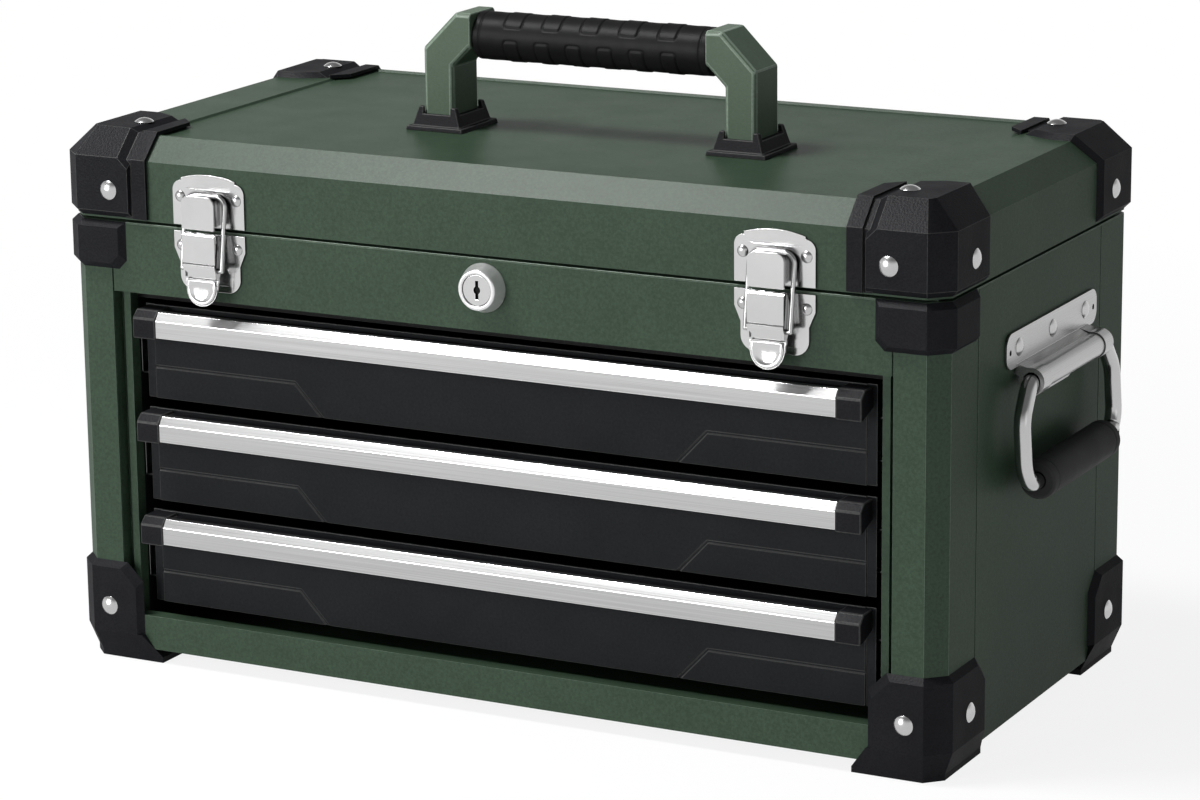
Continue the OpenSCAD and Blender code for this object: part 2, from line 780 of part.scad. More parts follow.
// Leaf with every second knuckle: side is -1 for the cabinet's leaf, 1 for the lid's
module hinge_leaf(side, first) {
    x_start = -knuckles * knuckle_l / 2;
    far = hinge_z + side * (knuckle_d / 2 + run_gap);
    edge = hinge_z + side * (seam_gap / 2 + leaf_h);
    difference() {
        union() {
            box(x_start, -x_start, half_d, half_d + sheet, min(far, edge), max(far, edge));
            for (i = [first:2:knuckles - 1]) {
                x0 = x_start + i * knuckle_l + knuckle_gap / 2;
                x1 = x0 + knuckle_l - knuckle_gap;
                along_x(x0, x1, knuckle_d);
                box(x0, x1, half_d, half_d + sheet, min(far, hinge_z), max(far, hinge_z));
            }
        }
        along_x(x_start - 1, -x_start + 1, hinge_pin_d + 0.16);
    }
}

module hinge_base_leaf() { color("#b4b7ba") hinge_leaf(-1, 0); }
module hinge_lid_leaf() { color("#b4b7ba") hinge_leaf(1, 1); }
module hinge_pin() {
    color("#d0d2d4") along_x(-knuckles * knuckle_l / 2, knuckles * knuckle_l / 2, hinge_pin_d);
}

// ---------------------------------------------------------------- drawers

module drawer_box(i) {
    z0 = drawer_z(i) + 1.5;
    color("#202123") difference() {
        box(-box_x, box_x, box_y, box_y + box_d, z0, z0 + box_h);
        box(-box_x + box_wall, box_x - box_wall, box_y + box_wall, box_y + box_d - box_wall,
            z0 + box_wall, z0 + box_h + 1);
    }
}

// A pressed line along a drawer face that turns down to its bottom edge
module pressed_line(z0) {
    run = norm([line_run, line_h]) + line_w;
    translate([0, face_y + line_d, z0]) rotate([90, 0, 0]) linear_extrude(line_d + 1) {
        translate([line_turn, line_h - line_w / 2]) square([front_x - line_turn, line_w]);
        translate([line_turn, line_h]) circle(d = line_w, $fn = 24);
        translate([line_turn, line_h]) rotate(atan2(line_h, line_run))
            translate([-run, -line_w / 2]) square([run, line_w]);
    }
}

module drawer_front(i) {
    z0 = drawer_z(i);
    y1 = face_y + face_raise;
    color("#1d1e20") difference() {
        union() {
            box(-front_x, front_x, y1, y1 + sheet, z0, z0 + front_h);
            box(-front_x + face_border, front_x - face_border, face_y, y1 + eps,
                z0, z0 + front_h);
        }
        both_sides() pressed_line(z0);
    }
}

pull_y = face_y - pull_d;
pull_top = front_h - 1.2;
// Depth of the strip's flat top, and height of the rail's flange on the drawer face
strip_back = 7;
rail_flange = 9;
pull_x = front_x - pull_inset - pull_cap;

// Inner line of the strip, which is also the rail's outer line, as [y, z] points
function strip_line(z) = let(
    n = sqrt(strip_cut_d * strip_cut_d + strip_cut_h * strip_cut_h),
    k = strip_cut_h / strip_cut_d,
    y1 = pull_y + strip_t * strip_cut_h / n,
    z1 = z - strip_cut_h - strip_t * strip_cut_d / n
) [
    [pull_y + strip_t, z - strip_h],
    [pull_y + strip_t, z1 + k * (pull_y + strip_t - y1)],
    [y1 + (z - 1 - z1) / k, z - 1]
];

module pull_profile(x0, x1) {
    translate([x0, 0, 0]) rotate([90, 0, 90]) linear_extrude(x1 - x0) children();
}

module pull_strip(i) {
    z = drawer_z(i) + pull_top;
    line = strip_line(z);
    color("#c4c7ca") pull_profile(-pull_x, pull_x) polygon([
        line[0], line[1], line[2], [pull_y + strip_back, z - 1], [pull_y + strip_back, z],
        [pull_y + strip_cut_d, z], [pull_y, z - strip_cut_h], [pull_y, z - strip_h]
    ]);
}

module pull_rail(i) {
    z = drawer_z(i) + pull_top;
    line = strip_line(z);
    w = pull_wall;
    cap_y = pull_y - 0.5;
    cap_z = z + 0.6;
    color("#232426") {
        pull_profile(-pull_x, pull_x) polygon([
            line[0], line[1], line[2], [face_y, z - 1], [face_y, z - rail_flange],
            [face_y - w, z - rail_flange], [face_y - w, z - 1 - w],
            [line[2][0] + w * 0.5, z - 1 - w], [line[1][0] + w, line[1][1] - w * 0.4],
            [line[0][0] + w, z - strip_h]
        ]);
        both_sides() pull_profile(pull_x, pull_x + pull_cap) polygon([
            [face_y, cap_z], [pull_y + 4, cap_z], [cap_y, cap_z - 4.2],
            [cap_y, z - strip_h - 1], [cap_y + 3, z - strip_h - 1],
            [face_y, z - strip_h + 3]
        ]);
    }
}

module drawer_slides(i) {
    inner_h = slide_h - 2 * sheet - 2 * run_gap;
    y0 = box_y + 3;
    color("#c3c6c9") both_sides()
        translate([box_x, 0, drawer_z(i) + slide_mid]) mirror([1, 0, 0])
            channel(inner_h, front_x - box_x, sheet, y0, box_d - slide_over);
}

// ---------------------------------------------------------------- latches

latch_grip = latch_t + 2 * sheet + 0.6;
small_rivet_h = 1.6;
rivet_side = latch_w / 2 - 4.8;
seam_mid = (rim_z + lid_z) / 2;
catch_z = lid_z + 0.6;
catch_rivet_z = seam_mid + 17;
base_top_z = rim_z - sheet - 0.4;
base_rivet_z = seam_mid - 9.8;
pin_z = seam_mid - 4.4;
pin_out = lever_d - 3.5;
wire_out = lever_d - 3.2;
wire_z = pin_z - 16;
bar_z = seam_mid + 19;
bar_out = latch_t + latch_raise + wire_d / 2 + 0.35;
// The wire has to rise over the cover's top edge before it swings forward
hook_top = bar_z + 0.9;
cover_t = 1.2;
// Curved top of the catch plate: its height, radius, drop at the sides and corners
crown_z = shoulder_z - 4;
crown_r = 60;
crown_drop = 3.9;
catch_round = 5.5;
cheek = 1;
latch_pin_d = 2.4;
leg_x = lever_w / 2 + wire_d / 2 + 1.15;
flat_x = rivet_side - small_rivet_d / 2 - 0.3;
// Height of the latch's base plate and of its pressed middle
base_plate_h = 32;
base_rib_h = 28;

module latch_base_spots() {
    for (s = [-1, 1]) on_front(latch_x + s * rivet_side, base_rivet_z, latch_t) children();
}
module latch_catch_spots() {
    for (s = [-1, 1]) on_front(latch_x + s * rivet_side, catch_rivet_z, latch_t) children();
}

// Pressed middle of a latch plate, with slanted sides, between two heights
module latch_rib(z0, z1) {
    translate([0, 0, z0]) linear_extrude(z1 - z0) polygon([
        [-flat_x, -half_d - latch_t + eps], [flat_x, -half_d - latch_t + eps],
        [flat_x - 3, -half_d - latch_t - latch_raise],
        [-flat_x + 3, -half_d - latch_t - latch_raise]
    ]);
}

module front_plate(t) {
    translate([0, -half_d, 0]) rotate([90, 0, 0]) linear_extrude(t) children();
}

module latch_catch_outline() {
    w = latch_w / 2;
    inner = latch_w - 2 * catch_round;
    shoulder = crown_z - catch_z - crown_drop - catch_round;
    intersection() {
        translate([0, crown_z - crown_r]) circle(crown_r, $fn = 96);
        union() {
            translate([-w, catch_z]) square([latch_w, shoulder]);
            translate([-inner / 2, catch_z]) square([inner, lid_h]);
            for (s = [-1, 1])
                translate([s * inner / 2, catch_z + shoulder]) circle(catch_round);
        }
    }
}

module rounded_top(w, z0, z1, r) {
    translate([-w / 2, z0]) square([w, z1 - z0 - r]);
    translate([-w / 2 + r, z0]) square([w - 2 * r, z1 - z0]);
    for (s = [-1, 1]) translate([s * (w / 2 - r), z1 - r]) circle(r);
}

module latch_catch() {
    rib_out = latch_t + latch_raise;
    cover_in = lever_d - cover_t;
    hook_z = catch_z + 0.5;
    difference() {
        union() {
            front_plate(latch_t) latch_catch_outline();
            latch_rib(catch_z, hook_top + 2);
            // Neck that the wire passes over, and the cover in front of it
            box(-lever_w / 2 + 3, lever_w / 2 - 3, -half_d - cover_in - eps,
                -half_d - rib_out + eps, hook_z + 1, bar_z - wire_d / 2 - 0.6);
            translate([0, -cover_in, 0]) front_plate(cover_t)
                rounded_top(lever_w, hook_z, hook_top, 4.5);
        }
        for (s = [-1, 1]) on_front(s * rivet_side, catch_rivet_z, latch_t)
            shank_hole(latch_grip);
    }
}

module latch_base_outline() {
    w = latch_w / 2;
    low = base_top_z - base_plate_h;
    polygon([
        [-w, base_top_z], [-w, base_top_z - 9], [-w + 3.5, base_top_z - 17],
        [-w + 3.5, low + 8], [w - 3.5, low + 8], [w - 3.5, base_top_z - 17],
        [w, base_top_z - 9], [w, base_top_z]
    ]);
    translate([-w + 11.5, low]) square([latch_w - 23, 9]);
    for (s = [-1, 1]) translate([s * (w - 11.5), low + 8]) circle(8);
}

module latch_ear(x0) {
    y0 = -half_d - latch_t - latch_raise;
    y1 = -half_d - pin_out;
    translate([x0, 0, 0]) rotate([90, 0, 90]) linear_extrude(cheek) {
        polygon([
            [y0 + eps, pin_z - 1.5], [y0 + eps, pin_z - 8], [y1, pin_z - 2.2],
            [y1, pin_z + 2.2], [y1 + 2, pin_z + 1.4]
        ]);
        translate([y1, pin_z]) circle(2.2, $fn = 32);
    }
}

module latch_pin() {
    translate([-lever_w / 2, -half_d - pin_out, pin_z]) rotate([0, 90, 0])
        cylinder(lever_w, d = latch_pin_d, $fn = 24);
}

module latch_base() {
    ear_x = lever_w / 2 - cheek - 0.4 - cheek;
    difference() {
        union() {
            front_plate(latch_t) latch_base_outline();
            latch_rib(base_top_z - base_rib_h, base_top_z);
            latch_ear(ear_x);
            latch_ear(-ear_x - cheek);
            latch_pin();
        }
        for (s = [-1, 1]) on_front(s * rivet_side, base_rivet_z, latch_t)
            shank_hole(latch_grip);
    }
}

// Lever: its top above the pin, and the ends of block, band and thumb tab below it
lever_up = 4;
lever_block = 14;
lever_band = 21;
lever_end = 36;
thumb_d = 19.2;

// Side outline of the lever's sheet as [y, z] points: block, band and thumb tab
module lever_sheet() {
    f = -half_d - lever_d;
    t = cheek;
    z1 = pin_z + lever_up;
    z2 = pin_z - lever_block;
    z3 = pin_z - lever_band;
    z4 = pin_z - lever_end;
    polygon([
        [f, z1 - 1], [f + 1, z1], [f + 2, z1 - 0.4], [f + t, z1 - 1.4],
        [f + t, z2], [f + 3.6 + t, z3], [f + 2 + t, z4],
        [f + 1.4, z4], [f + 3, z3 - 0.4], [f - 0.5, z2 - 0.6], [f - 0.5, z2 + 1], [f, z2 + 1.8]
    ]);
}

module lever_outline() {
    round_z = pin_z - lever_end + thumb_d / 2;
    low = pin_z - lever_band - 2;
    translate([-lever_w / 2, low]) square([lever_w, pin_z + lever_up + 1 - low]);
    translate([0, round_z]) circle(d = thumb_d);
    translate([-thumb_d / 2, round_z]) square([thumb_d, low + 1 - round_z]);
}

module latch_lever() {
    f = -half_d - lever_d;
    w = lever_w / 2;
    difference() {
        union() {
            intersection() {
                rotate([90, 0, 90]) linear_extrude(lever_w, center = true) lever_sheet();
                translate([0, -half_d, 0]) rotate([90, 0, 0])
                    linear_extrude(3 * lever_d, center = true) lever_outline();
            }
            for (x = [-w, w - cheek]) translate([x, 0, 0]) rotate([90, 0, 90])
                linear_extrude(cheek) {
                    polygon([
                        [f + 0.5, pin_z + 3], [f + 0.5, wire_z - 4], [f + 4, wire_z - 4.6],
                        [f + 6.4, wire_z - 1], [f + 7.2, pin_z - 4], [f + 6.5, pin_z],
                        [f + 3.5, pin_z + 3.2]
                    ]);
                }
        }
        translate([-w - 1, -half_d - pin_out, pin_z]) rotate([0, 90, 0])
            cylinder(lever_w + 2, d = latch_pin_d + 0.2, $fn = 24);
        translate([-w - 1, -half_d - wire_out, wire_z]) rotate([0, 90, 0])
            cylinder(lever_w + 2, d = wire_d + 0.2, $fn = 24);
    }
}

// Wire loop in its own plane: u across, v along the loop, from the lever to the hook
module latch_loop() {
    rise = bar_z - wire_z;
    back = wire_out - bar_out;
    lean = atan2(back, rise);
    len = sqrt(rise * rise + back * back);
    r = 6;
    translate([0, -half_d - wire_out, wire_z]) rotate([-lean, 0, 0]) both_sides() {
        translate([leg_x, 0, 0]) cylinder(len - r, d = wire_d, $fn = 24);
        translate([leg_x, 0, 0]) sphere(d = wire_d, $fn = 24);
        translate([leg_x - r, 0, len - r]) rotate([90, 0, 0])
            rotate_extrude(angle = 90, $fn = 48) translate([r, 0]) circle(d = wire_d, $fn = 24);
        translate([-eps, 0, len]) rotate([0, 90, 0])
            cylinder(leg_x - r + eps, d = wire_d, $fn = 24);
        translate([lever_w / 2 - cheek - 0.8, 0, 0]) rotate([0, 90, 0])
            cylinder(leg_x - lever_w / 2 + cheek + 0.8, d = wire_d, $fn = 24);
    }
}

module at_latch(s) { color("#d8dadb") translate([s * latch_x, 0, 0]) children(); }

// ---------------------------------------------------------------- lock

lock_z = rim_z - 15.6;
housing_l = 18;
slot_h = 10;
slot_w = 1.8;
plug_set = 0.6;
nut_in = tray_in + sheet;
nut_h = 5;
nut_w = barrel_d + 8;
cam_t = 2;
cam_w = 10;
cam_reach = 20;
cam_gap = 0.7;

module lock_bore(d) {
    translate([0, -half_d + housing_l, lock_z]) rotate([90, 0, 0])
        cylinder(2 * housing_l, d = d);
}

module lock_housing() {
    face = -half_d - bezel_h;
    color("#d8dadb") {
        difference() {
            union() {
                translate([0, -half_d, lock_z]) rotate([90, 0, 0]) rotate_extrude(angle = 360)
                    polygon([
                        [0, 0], [bezel_d / 2, 0], [bezel_d / 2, 0.6],
                        [bezel_face_d / 2 + 0.5, bezel_h - 0.6],
                        [bezel_face_d / 2, bezel_h], [0, bezel_h]
                    ]);
                translate([0, -half_d + housing_l, lock_z]) rotate([90, 0, 0])
                    cylinder(housing_l, d = barrel_d);
            }
            translate([0, -half_d + housing_l + 1, lock_z]) rotate([90, 0, 0])
                cylinder(housing_l + bezel_h + 2, d = plug_d + 0.4);
        }
        // Hexagon nut behind the tray's wall
        difference() {
            translate([0, -half_d + nut_in + nut_h, lock_z]) rotate([90, 0, 0])
                cylinder(nut_h, d = nut_w, $fn = 6);
            lock_bore(barrel_d + 2 * fit_gap);
        }
    }
}

module lock_plug() {
    color("#c8cacc") difference() {
        translate([0, -half_d + housing_l + 2, lock_z]) rotate([90, 0, 0])
            cylinder(housing_l + 2 + bezel_h - plug_set, d = plug_d);
        translate([0, -half_d - bezel_h + plug_set, lock_z]) rotate([90, 0, 0]) {
            translate([0, 0, -6]) cylinder(8, d = 4, $fn = 24);
            box(-slot_w / 2, slot_w / 2, -slot_h / 2, slot_h / 2, -6, 2);
        }
    }
}

// Cam on the plug's inner end: stands up when open, turns sideways to lock
module lock_cam() {
    y0 = -half_d + housing_l + 2;
    color("#aeb1b4") {
        translate([0, y0 + cam_t, lock_z]) rotate([90, 0, 0]) cylinder(cam_t, d = plug_d);
        box(-cam_w / 2, cam_w / 2, y0, y0 + cam_t, lock_z, lock_z + cam_reach);
    }
}

// Hook on the lid that passes behind the tray's lip and ends under the turned cam
module lock_strike() {
    x0 = barrel_d / 2 + 1.4;
    x1 = x0 + 10;
    y_plate = -half_d + housing_l - 4;
    z_low = lock_z - cam_w / 2 - cam_gap - 1.5;
    z_high = lid_z + tray_lip + 3;
    color("#b4b7ba") {
        box(x0, x1, y_plate, y_plate + 1.5, z_low, z_high);
        box(x0, x1, y_plate, -half_d + housing_l + 2 + cam_t + 3, z_low, z_low + 1.5);
        box(x0, x1, -half_d + sheet, y_plate + 1.5, z_high - 1.5, z_high);
        box(x0 - 4, x1 + 4, -half_d + sheet, -half_d + sheet + 1.5, z_high - 1.5, z_high + 12);
    }
}

// ---------------------------------------------------------------- top handle

handle_y = -handle_fore;
handle_top = top_z + handle_rise;
leg_x0 = handle_span / 2;
grip_l = handle_span - leg_w - 2 * (bend_in + stub_l);
top_leg_h = 19;
// Drop of the shoe's edges between its four corners
shoe_dip = 4;

bolt_d = 5;
bolt_y = 7;
bolt_l = 17;
bolt_head_h = 3;
bolt_head_d = 9;

// Chamfered section between an outer and an inner [x, z] point
function leg_ring(o, i) = let(
    n = norm(i - o), u = (i - o) / n, c = leg_cut, h = leg_d / 2
) [for (p = [
    [0, -h + c], [c, -h], [n - c, -h], [n, -h + c],
    [n, h - c], [n - c, h], [c, h], [0, h - c]
]) [o[0] + u[0] * p[0], handle_y + p[1], o[1] + u[1] * p[0]]];

// Right-hand arm: straight leg, slanted bend and short top
module handle_arm() {
    xo = leg_x0 + leg_w / 2;
    xi = leg_x0 - leg_w / 2;
    zt = handle_top;
    zi = handle_top - top_leg_h;
    xe = grip_l / 2;
    rings = [
        leg_ring([xo, panel_z], [xi, panel_z]),
        leg_ring([xo, zt - bend_cut], [xi, zi - bend_in]),
        leg_ring([xo - bend_cut, zt], [xi - bend_in, zi]),
        leg_ring([xe, zt], [xe, zi])
    ];
    n = 8;
    polyhedron(
        points = [for (r = rings, p = r) p],
        faces = concat(
            [[for (i = [n - 1:-1:0]) i]],
            [for (k = [0:2], i = [0:n - 1]) [
                k * n + i, k * n + (i + 1) % n, (k + 1) * n + (i + 1) % n, (k + 1) * n + i
            ]],
            [[for (i = [0:n - 1]) 3 * n + i]]
        )
    );
}

grip_z = handle_top - grip_d / 2 + 0.2;

module handle_bolt_spots() {
    for (s = [-1, 1], t = [-1, 1])
        translate([handle_side + s * leg_x0, handle_y + t * bolt_y, panel_z]) children();
}

module top_handle_frame() {
    color("#55654f") difference() {
        union() {
            translate([handle_side, 0, 0]) both_sides() handle_arm();
            translate([handle_side - grip_l / 2 - 2, handle_y, grip_z]) rotate([0, 90, 0])
                cylinder(grip_l + 4, d = core_d);
        }
        handle_bolt_spots() translate([0, 0, -1])
            cylinder(bolt_l + 2, d = bolt_d + 2 * fit_gap);
    }
}

module top_handle_grip() {
    r = grip_d / 2;
    color("#1e1f20") difference() {
        translate([handle_side - grip_l / 2, handle_y, grip_z]) rotate([0, 90, 0])
            rotate_extrude(angle = 360, $fn = 64) polygon([
                [core_d / 2, 0], [r - 1.5, 0], [r, 1.5], [r, grip_l - 1.5],
                [r - 1.5, grip_l], [core_d / 2, grip_l]
            ]);
        translate([handle_side - grip_l / 2 - 1, handle_y, grip_z]) rotate([0, 90, 0])
            cylinder(grip_l + 2, d = core_d + 2 * fit_gap);
    }
}

// Plastic shoe round the foot of a leg, with four raised corners
module handle_shoe() {
    rim = 2.5;
    a = leg_w / 2 + 5.8;
    b = leg_d / 2 + 3.6;
    z = panel_z;
    dip_z = z + shoe_h - shoe_dip;
    dip_x = leg_w / 2 - 1;
    dip_y = leg_d / 2 - 1.5;
    function ring(x, y, h) = [
        [leg_x0 - x, handle_y - y, z + h], [leg_x0 + x, handle_y - y, z + h],
        [leg_x0 + x, handle_y + y, z + h], [leg_x0 - x, handle_y + y, z + h]
    ];
    difference() {
        union() {
            cell(ring(a + rim, b + rim, 0), ring(a + rim - 0.5, b + rim - 0.5, rim));
            cell(ring(a, b, 1), ring(a - 3.8, b - 1.8, shoe_h));
        }
        box(leg_x0 - dip_x, leg_x0 + dip_x, handle_y - b, handle_y + b, dip_z, z + shoe_h + 1);
        box(leg_x0 - a, leg_x0 + a, handle_y - dip_y, handle_y + dip_y, dip_z, z + shoe_h + 1);
        translate([leg_x0, handle_y, z]) linear_extrude(4 * shoe_h, center = true)
            square([leg_w + 2 * fit_gap, leg_d + 2 * fit_gap], center = true);
    }
}

module top_handle_shoes() {
    color("#1b1c1d") translate([handle_side, 0, 0]) both_sides() handle_shoe();
}

module top_handle_bolts() {
    color("#b4b7ba") handle_bolt_spots() {
        translate([0, 0, -sheet - bolt_head_h]) cylinder(bolt_head_h, d = bolt_head_d, $fn = 6);
        translate([0, 0, -sheet - 1]) cylinder(bolt_l, d = bolt_d, $fn = 24);
    }
}

// ---------------------------------------------------------------- side handles

plate_t = 1.5;
plate_grip = plate_t + 2 * sheet + 0.8;
plate_rise = 26;
plate_top = pivot_h + plate_rise;
rivet_row = pivot_h + 17;
rivet_step = 47;
// Radius of the plate's corners
plate_r = 7;
plate_low = pivot_h + 7;
plate_hole_d = 3;
plate_hole_in = 5;
// Tab of the plate under the sleeve
tab_half = 28;
tab_low = pivot_h - 14.5;
tab_r = 5;
ear_d = sleeve_d + 1.6;
ear_gap = 0.5;
ear_end = sleeve_l / 2 + ear_l;
// Height above the pivot at which the plate bends out into its sleeve
roll_h = 8.5;
bail_gap = 0.3;
// Half of the wire handle in its own plane, [across, down]: where it leaves the ear,
// the ends of its upright leg and where it turns into the grip
bail_out = ear_end + 2.5;
bail_side = ear_end + leg_step;
bail_path = [
    [bail_out, 0], [bail_side, -leg_step - 2], [bail_side, -bail_drop + 9],
    [bail_side - 8, -bail_drop], [0, -bail_drop]
];

module side_handle_spots() {
    for (k = [-1:1]) on_right(plate_back + k * rivet_step, rivet_row, plate_t) children();
}

// Rolled sheet in section, d across, with its bent edge, as [x, z] in the drawing plane
module sleeve_plan(d) {
    difference() {
        union() {
            translate([pivot_out, 0]) circle(d = d);
            polygon([
                [0, 3], [0, roll_h], [plate_t, roll_h],
                [pivot_out - 2.5, d / 2 - 0.2], [pivot_out, d / 2], [pivot_out, 0]
            ]);
        }
        translate([pivot_out, 0]) circle(d = bail_d + 2 * bail_gap);
    }
}

module along_side(len) {
    translate([half_w, plate_back, pivot_h]) rotate([90, 0, 0])
        linear_extrude(len, center = true) children();
}

// Rectangle with round corners, from [x0, z0] to [x1, z1]
module round_plate(x0, x1, z0, z1, r) {
    translate([x0 + r, z0]) square([x1 - x0 - 2 * r, z1 - z0]);
    translate([x0, z0 + r]) square([x1 - x0, z1 - z0 - 2 * r]);
    for (x = [x0 + r, x1 - r], z = [z0 + r, z1 - r]) translate([x, z]) circle(r);
}

module side_handle_mount() {
    half_plate = plate_l / 2;
    half_gap = sleeve_l / 2 + ear_gap;
    color("#c3c5c6") difference() {
        union() {
            translate([half_w, plate_back, 0]) rotate([90, 0, 90]) linear_extrude(plate_t) {
                round_plate(-half_plate, half_plate, plate_low, plate_top, plate_r);
                round_plate(-tab_half, tab_half, tab_low, plate_top - plate_r, tab_r);
            }
            along_side(sleeve_l) sleeve_plan(sleeve_d);
            // Ears that curl over the handle's ends
            for (s = [-1, 1]) translate([0, s * (half_gap + ear_end) / 2, 0])
                along_side(ear_end - half_gap) sleeve_plan(ear_d);
        }
        for (k = [-1:1]) on_right(plate_back + k * rivet_step, rivet_row, plate_t)
            shank_hole(plate_grip);
        for (s = [-1, 1]) on_right(plate_back + s * (half_plate - plate_hole_in), rivet_row - 1, 0)
            cylinder(10, d = plate_hole_d, center = true, $fn = 24);
    }
}

// Straight piece of wire with a round end at its second point
module wire_piece(p, q) {
    run = q - p;
    translate([0, p[0], p[1]]) rotate([-atan2(run[0], run[1]), 0, 0])
        cylinder(norm(run), d = bail_d, $fn = 32);
    translate([0, q[0], q[1]]) sphere(d = bail_d, $fn = 32);
}

module bail_half() {
    inside = sleeve_l / 2 - 9;
    wire_piece([inside, 0], bail_path[0]);
    for (i = [0:len(bail_path) - 3]) wire_piece(bail_path[i], bail_path[i + 1]);
    last = bail_path[len(bail_path) - 2];
    translate([0, -eps, -bail_drop]) rotate([-90, 0, 0])
        cylinder(last[0] + eps, d = bail_d, $fn = 32);
}

module at_pivot() {
    translate([half_w + pivot_out, plate_back, pivot_h]) rotate([0, -bail_lean, 0]) children();
}

module side_bail() {
    color("#d8dadb") at_pivot() {
        bail_half();
        mirror([0, 1, 0]) bail_half();
    }
}

module side_grip() {
    r = bail_grip_d / 2;
    collar = 6;
    line = 0.6;
    color("#1e1f20") at_pivot() translate([0, -bail_grip_l / 2, -bail_drop])
        rotate([-90, 0, 0]) difference() {
            rotate_extrude(angle = 360, $fn = 48) polygon([
                [bail_d / 2, 0], [r - 1, 0], [r, 1],
                [r, collar], [r - 1, collar + line], [r, collar + 2 * line],
                [r, bail_grip_l - collar - 2 * line], [r - 1, bail_grip_l - collar - line],
                [r, bail_grip_l - collar],
                [r, bail_grip_l - 1], [r - 1, bail_grip_l], [bail_d / 2, bail_grip_l]
            ]);
            translate([0, 0, -1]) cylinder(bail_grip_l + 2, d = bail_d + 2 * fit_gap, $fn = 32);
        }
}

// ---------------------------------------------------------------- nodes

cabinet_shell();
corner_post(-1, -1);  // corner_post_front_left
corner_post(1, -1);  // corner_post_front_right
union() { corner_post(-1, 1); corner_post(1, 1); }  // corner_posts_rear
upper_front_rail();
drawer_frame();
top_tray();
slide_channels();
seam_caps();
foot_corner(-1, -1);  // foot_corner_front_left
foot_corner(1, -1);  // foot_corner_front_right
foot_corner(-1, 1);  // foot_corner_rear_left
foot_corner(1, 1);  // foot_corner_rear_right
cabinet_rivets();
at_latch(-1) latch_base();  // latch_base_left
at_latch(1) latch_base();  // latch_base_right
lock_housing();
hinge_base_leaf();
hinge_pin();
mirror([1, 0, 0]) side_handle_mount();  // side_handle_mount_left
side_handle_mount();  // side_handle_mount_right
lid_shell();
lid_corner(-1, -1);  // lid_corner_front_left
lid_corner(1, -1);  // lid_corner_front_right
lid_corner(-1, 1);  // lid_corner_rear_left
lid_corner(1, 1);  // lid_corner_rear_right
lid_rivets();
at_latch(-1) latch_catch();  // latch_catch_left
at_latch(1) latch_catch();  // latch_catch_right
hinge_lid_leaf();
lock_strike();
top_handle_frame();
top_handle_shoes();
top_handle_grip();
top_handle_bolts();
drawer_box(0);  // drawer_box_top
drawer_box(1);  // drawer_box_middle
drawer_box(2);  // drawer_box_bottom
drawer_front(0);  // drawer_front_top
drawer_front(1);  // drawer_front_middle
drawer_front(2);  // drawer_front_bottom
pull_rail(0);  // pull_rail_top
pull_rail(1);  // pull_rail_middle
pull_rail(2);  // pull_rail_bottom
pull_strip(0);  // pull_strip_top
pull_strip(1);  // pull_strip_middle
pull_strip(2);  // pull_strip_bottom
drawer_slides(0);  // drawer_slides_top
drawer_slides(1);  // drawer_slides_middle
drawer_slides(2);  // drawer_slides_bottom
at_latch(-1) latch_lever();  // latch_lever_left
at_latch(1) latch_lever();  // latch_lever_right
at_latch(-1) latch_loop();  // latch_loop_left
at_latch(1) latch_loop();  // latch_loop_right
mirror([1, 0, 0]) side_bail();  // side_bail_left
side_bail();  // side_bail_right
mirror([1, 0, 0]) side_grip();  // side_grip_left
side_grip();  // side_grip_right
lock_plug();
lock_cam();
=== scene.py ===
import json
import math

import bmesh
import bpy
from mathutils import Matrix, Vector


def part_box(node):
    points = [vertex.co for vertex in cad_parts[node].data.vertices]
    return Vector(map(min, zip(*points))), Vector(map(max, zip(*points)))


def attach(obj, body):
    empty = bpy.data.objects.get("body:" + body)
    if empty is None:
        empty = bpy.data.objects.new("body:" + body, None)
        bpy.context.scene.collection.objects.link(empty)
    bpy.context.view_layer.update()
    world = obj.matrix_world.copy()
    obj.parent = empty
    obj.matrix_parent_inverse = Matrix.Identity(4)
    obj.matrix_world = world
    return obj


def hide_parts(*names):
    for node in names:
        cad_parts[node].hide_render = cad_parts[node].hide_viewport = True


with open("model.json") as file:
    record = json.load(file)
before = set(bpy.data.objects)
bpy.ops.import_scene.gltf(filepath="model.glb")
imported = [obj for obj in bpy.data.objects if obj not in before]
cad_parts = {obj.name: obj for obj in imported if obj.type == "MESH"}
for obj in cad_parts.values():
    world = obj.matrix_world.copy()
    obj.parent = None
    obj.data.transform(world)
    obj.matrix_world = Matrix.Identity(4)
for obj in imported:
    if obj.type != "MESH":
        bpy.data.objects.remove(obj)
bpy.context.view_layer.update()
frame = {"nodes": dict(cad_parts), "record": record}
nodes = frame["nodes"]
MM = 0.001


# ------------------------------------------------------------------ camera

CAMERA_AZIMUTH = 27.6
CAMERA_ELEVATION = 14.2
CAMERA_ROLL = -0.6
CAMERA_DISTANCE = 2.281
CAMERA_TARGET = Vector((0, 0, 0.15))
# The camera's own place to the right and up, with its direction unchanged
CAMERA_OFFSET = (-0.0001, -0.0051)
CAMERA_REACH = 50
FOCAL_PIXELS = 4121.1
IMAGE_WIDTH = 1200
SENSOR_WIDTH = 36.0


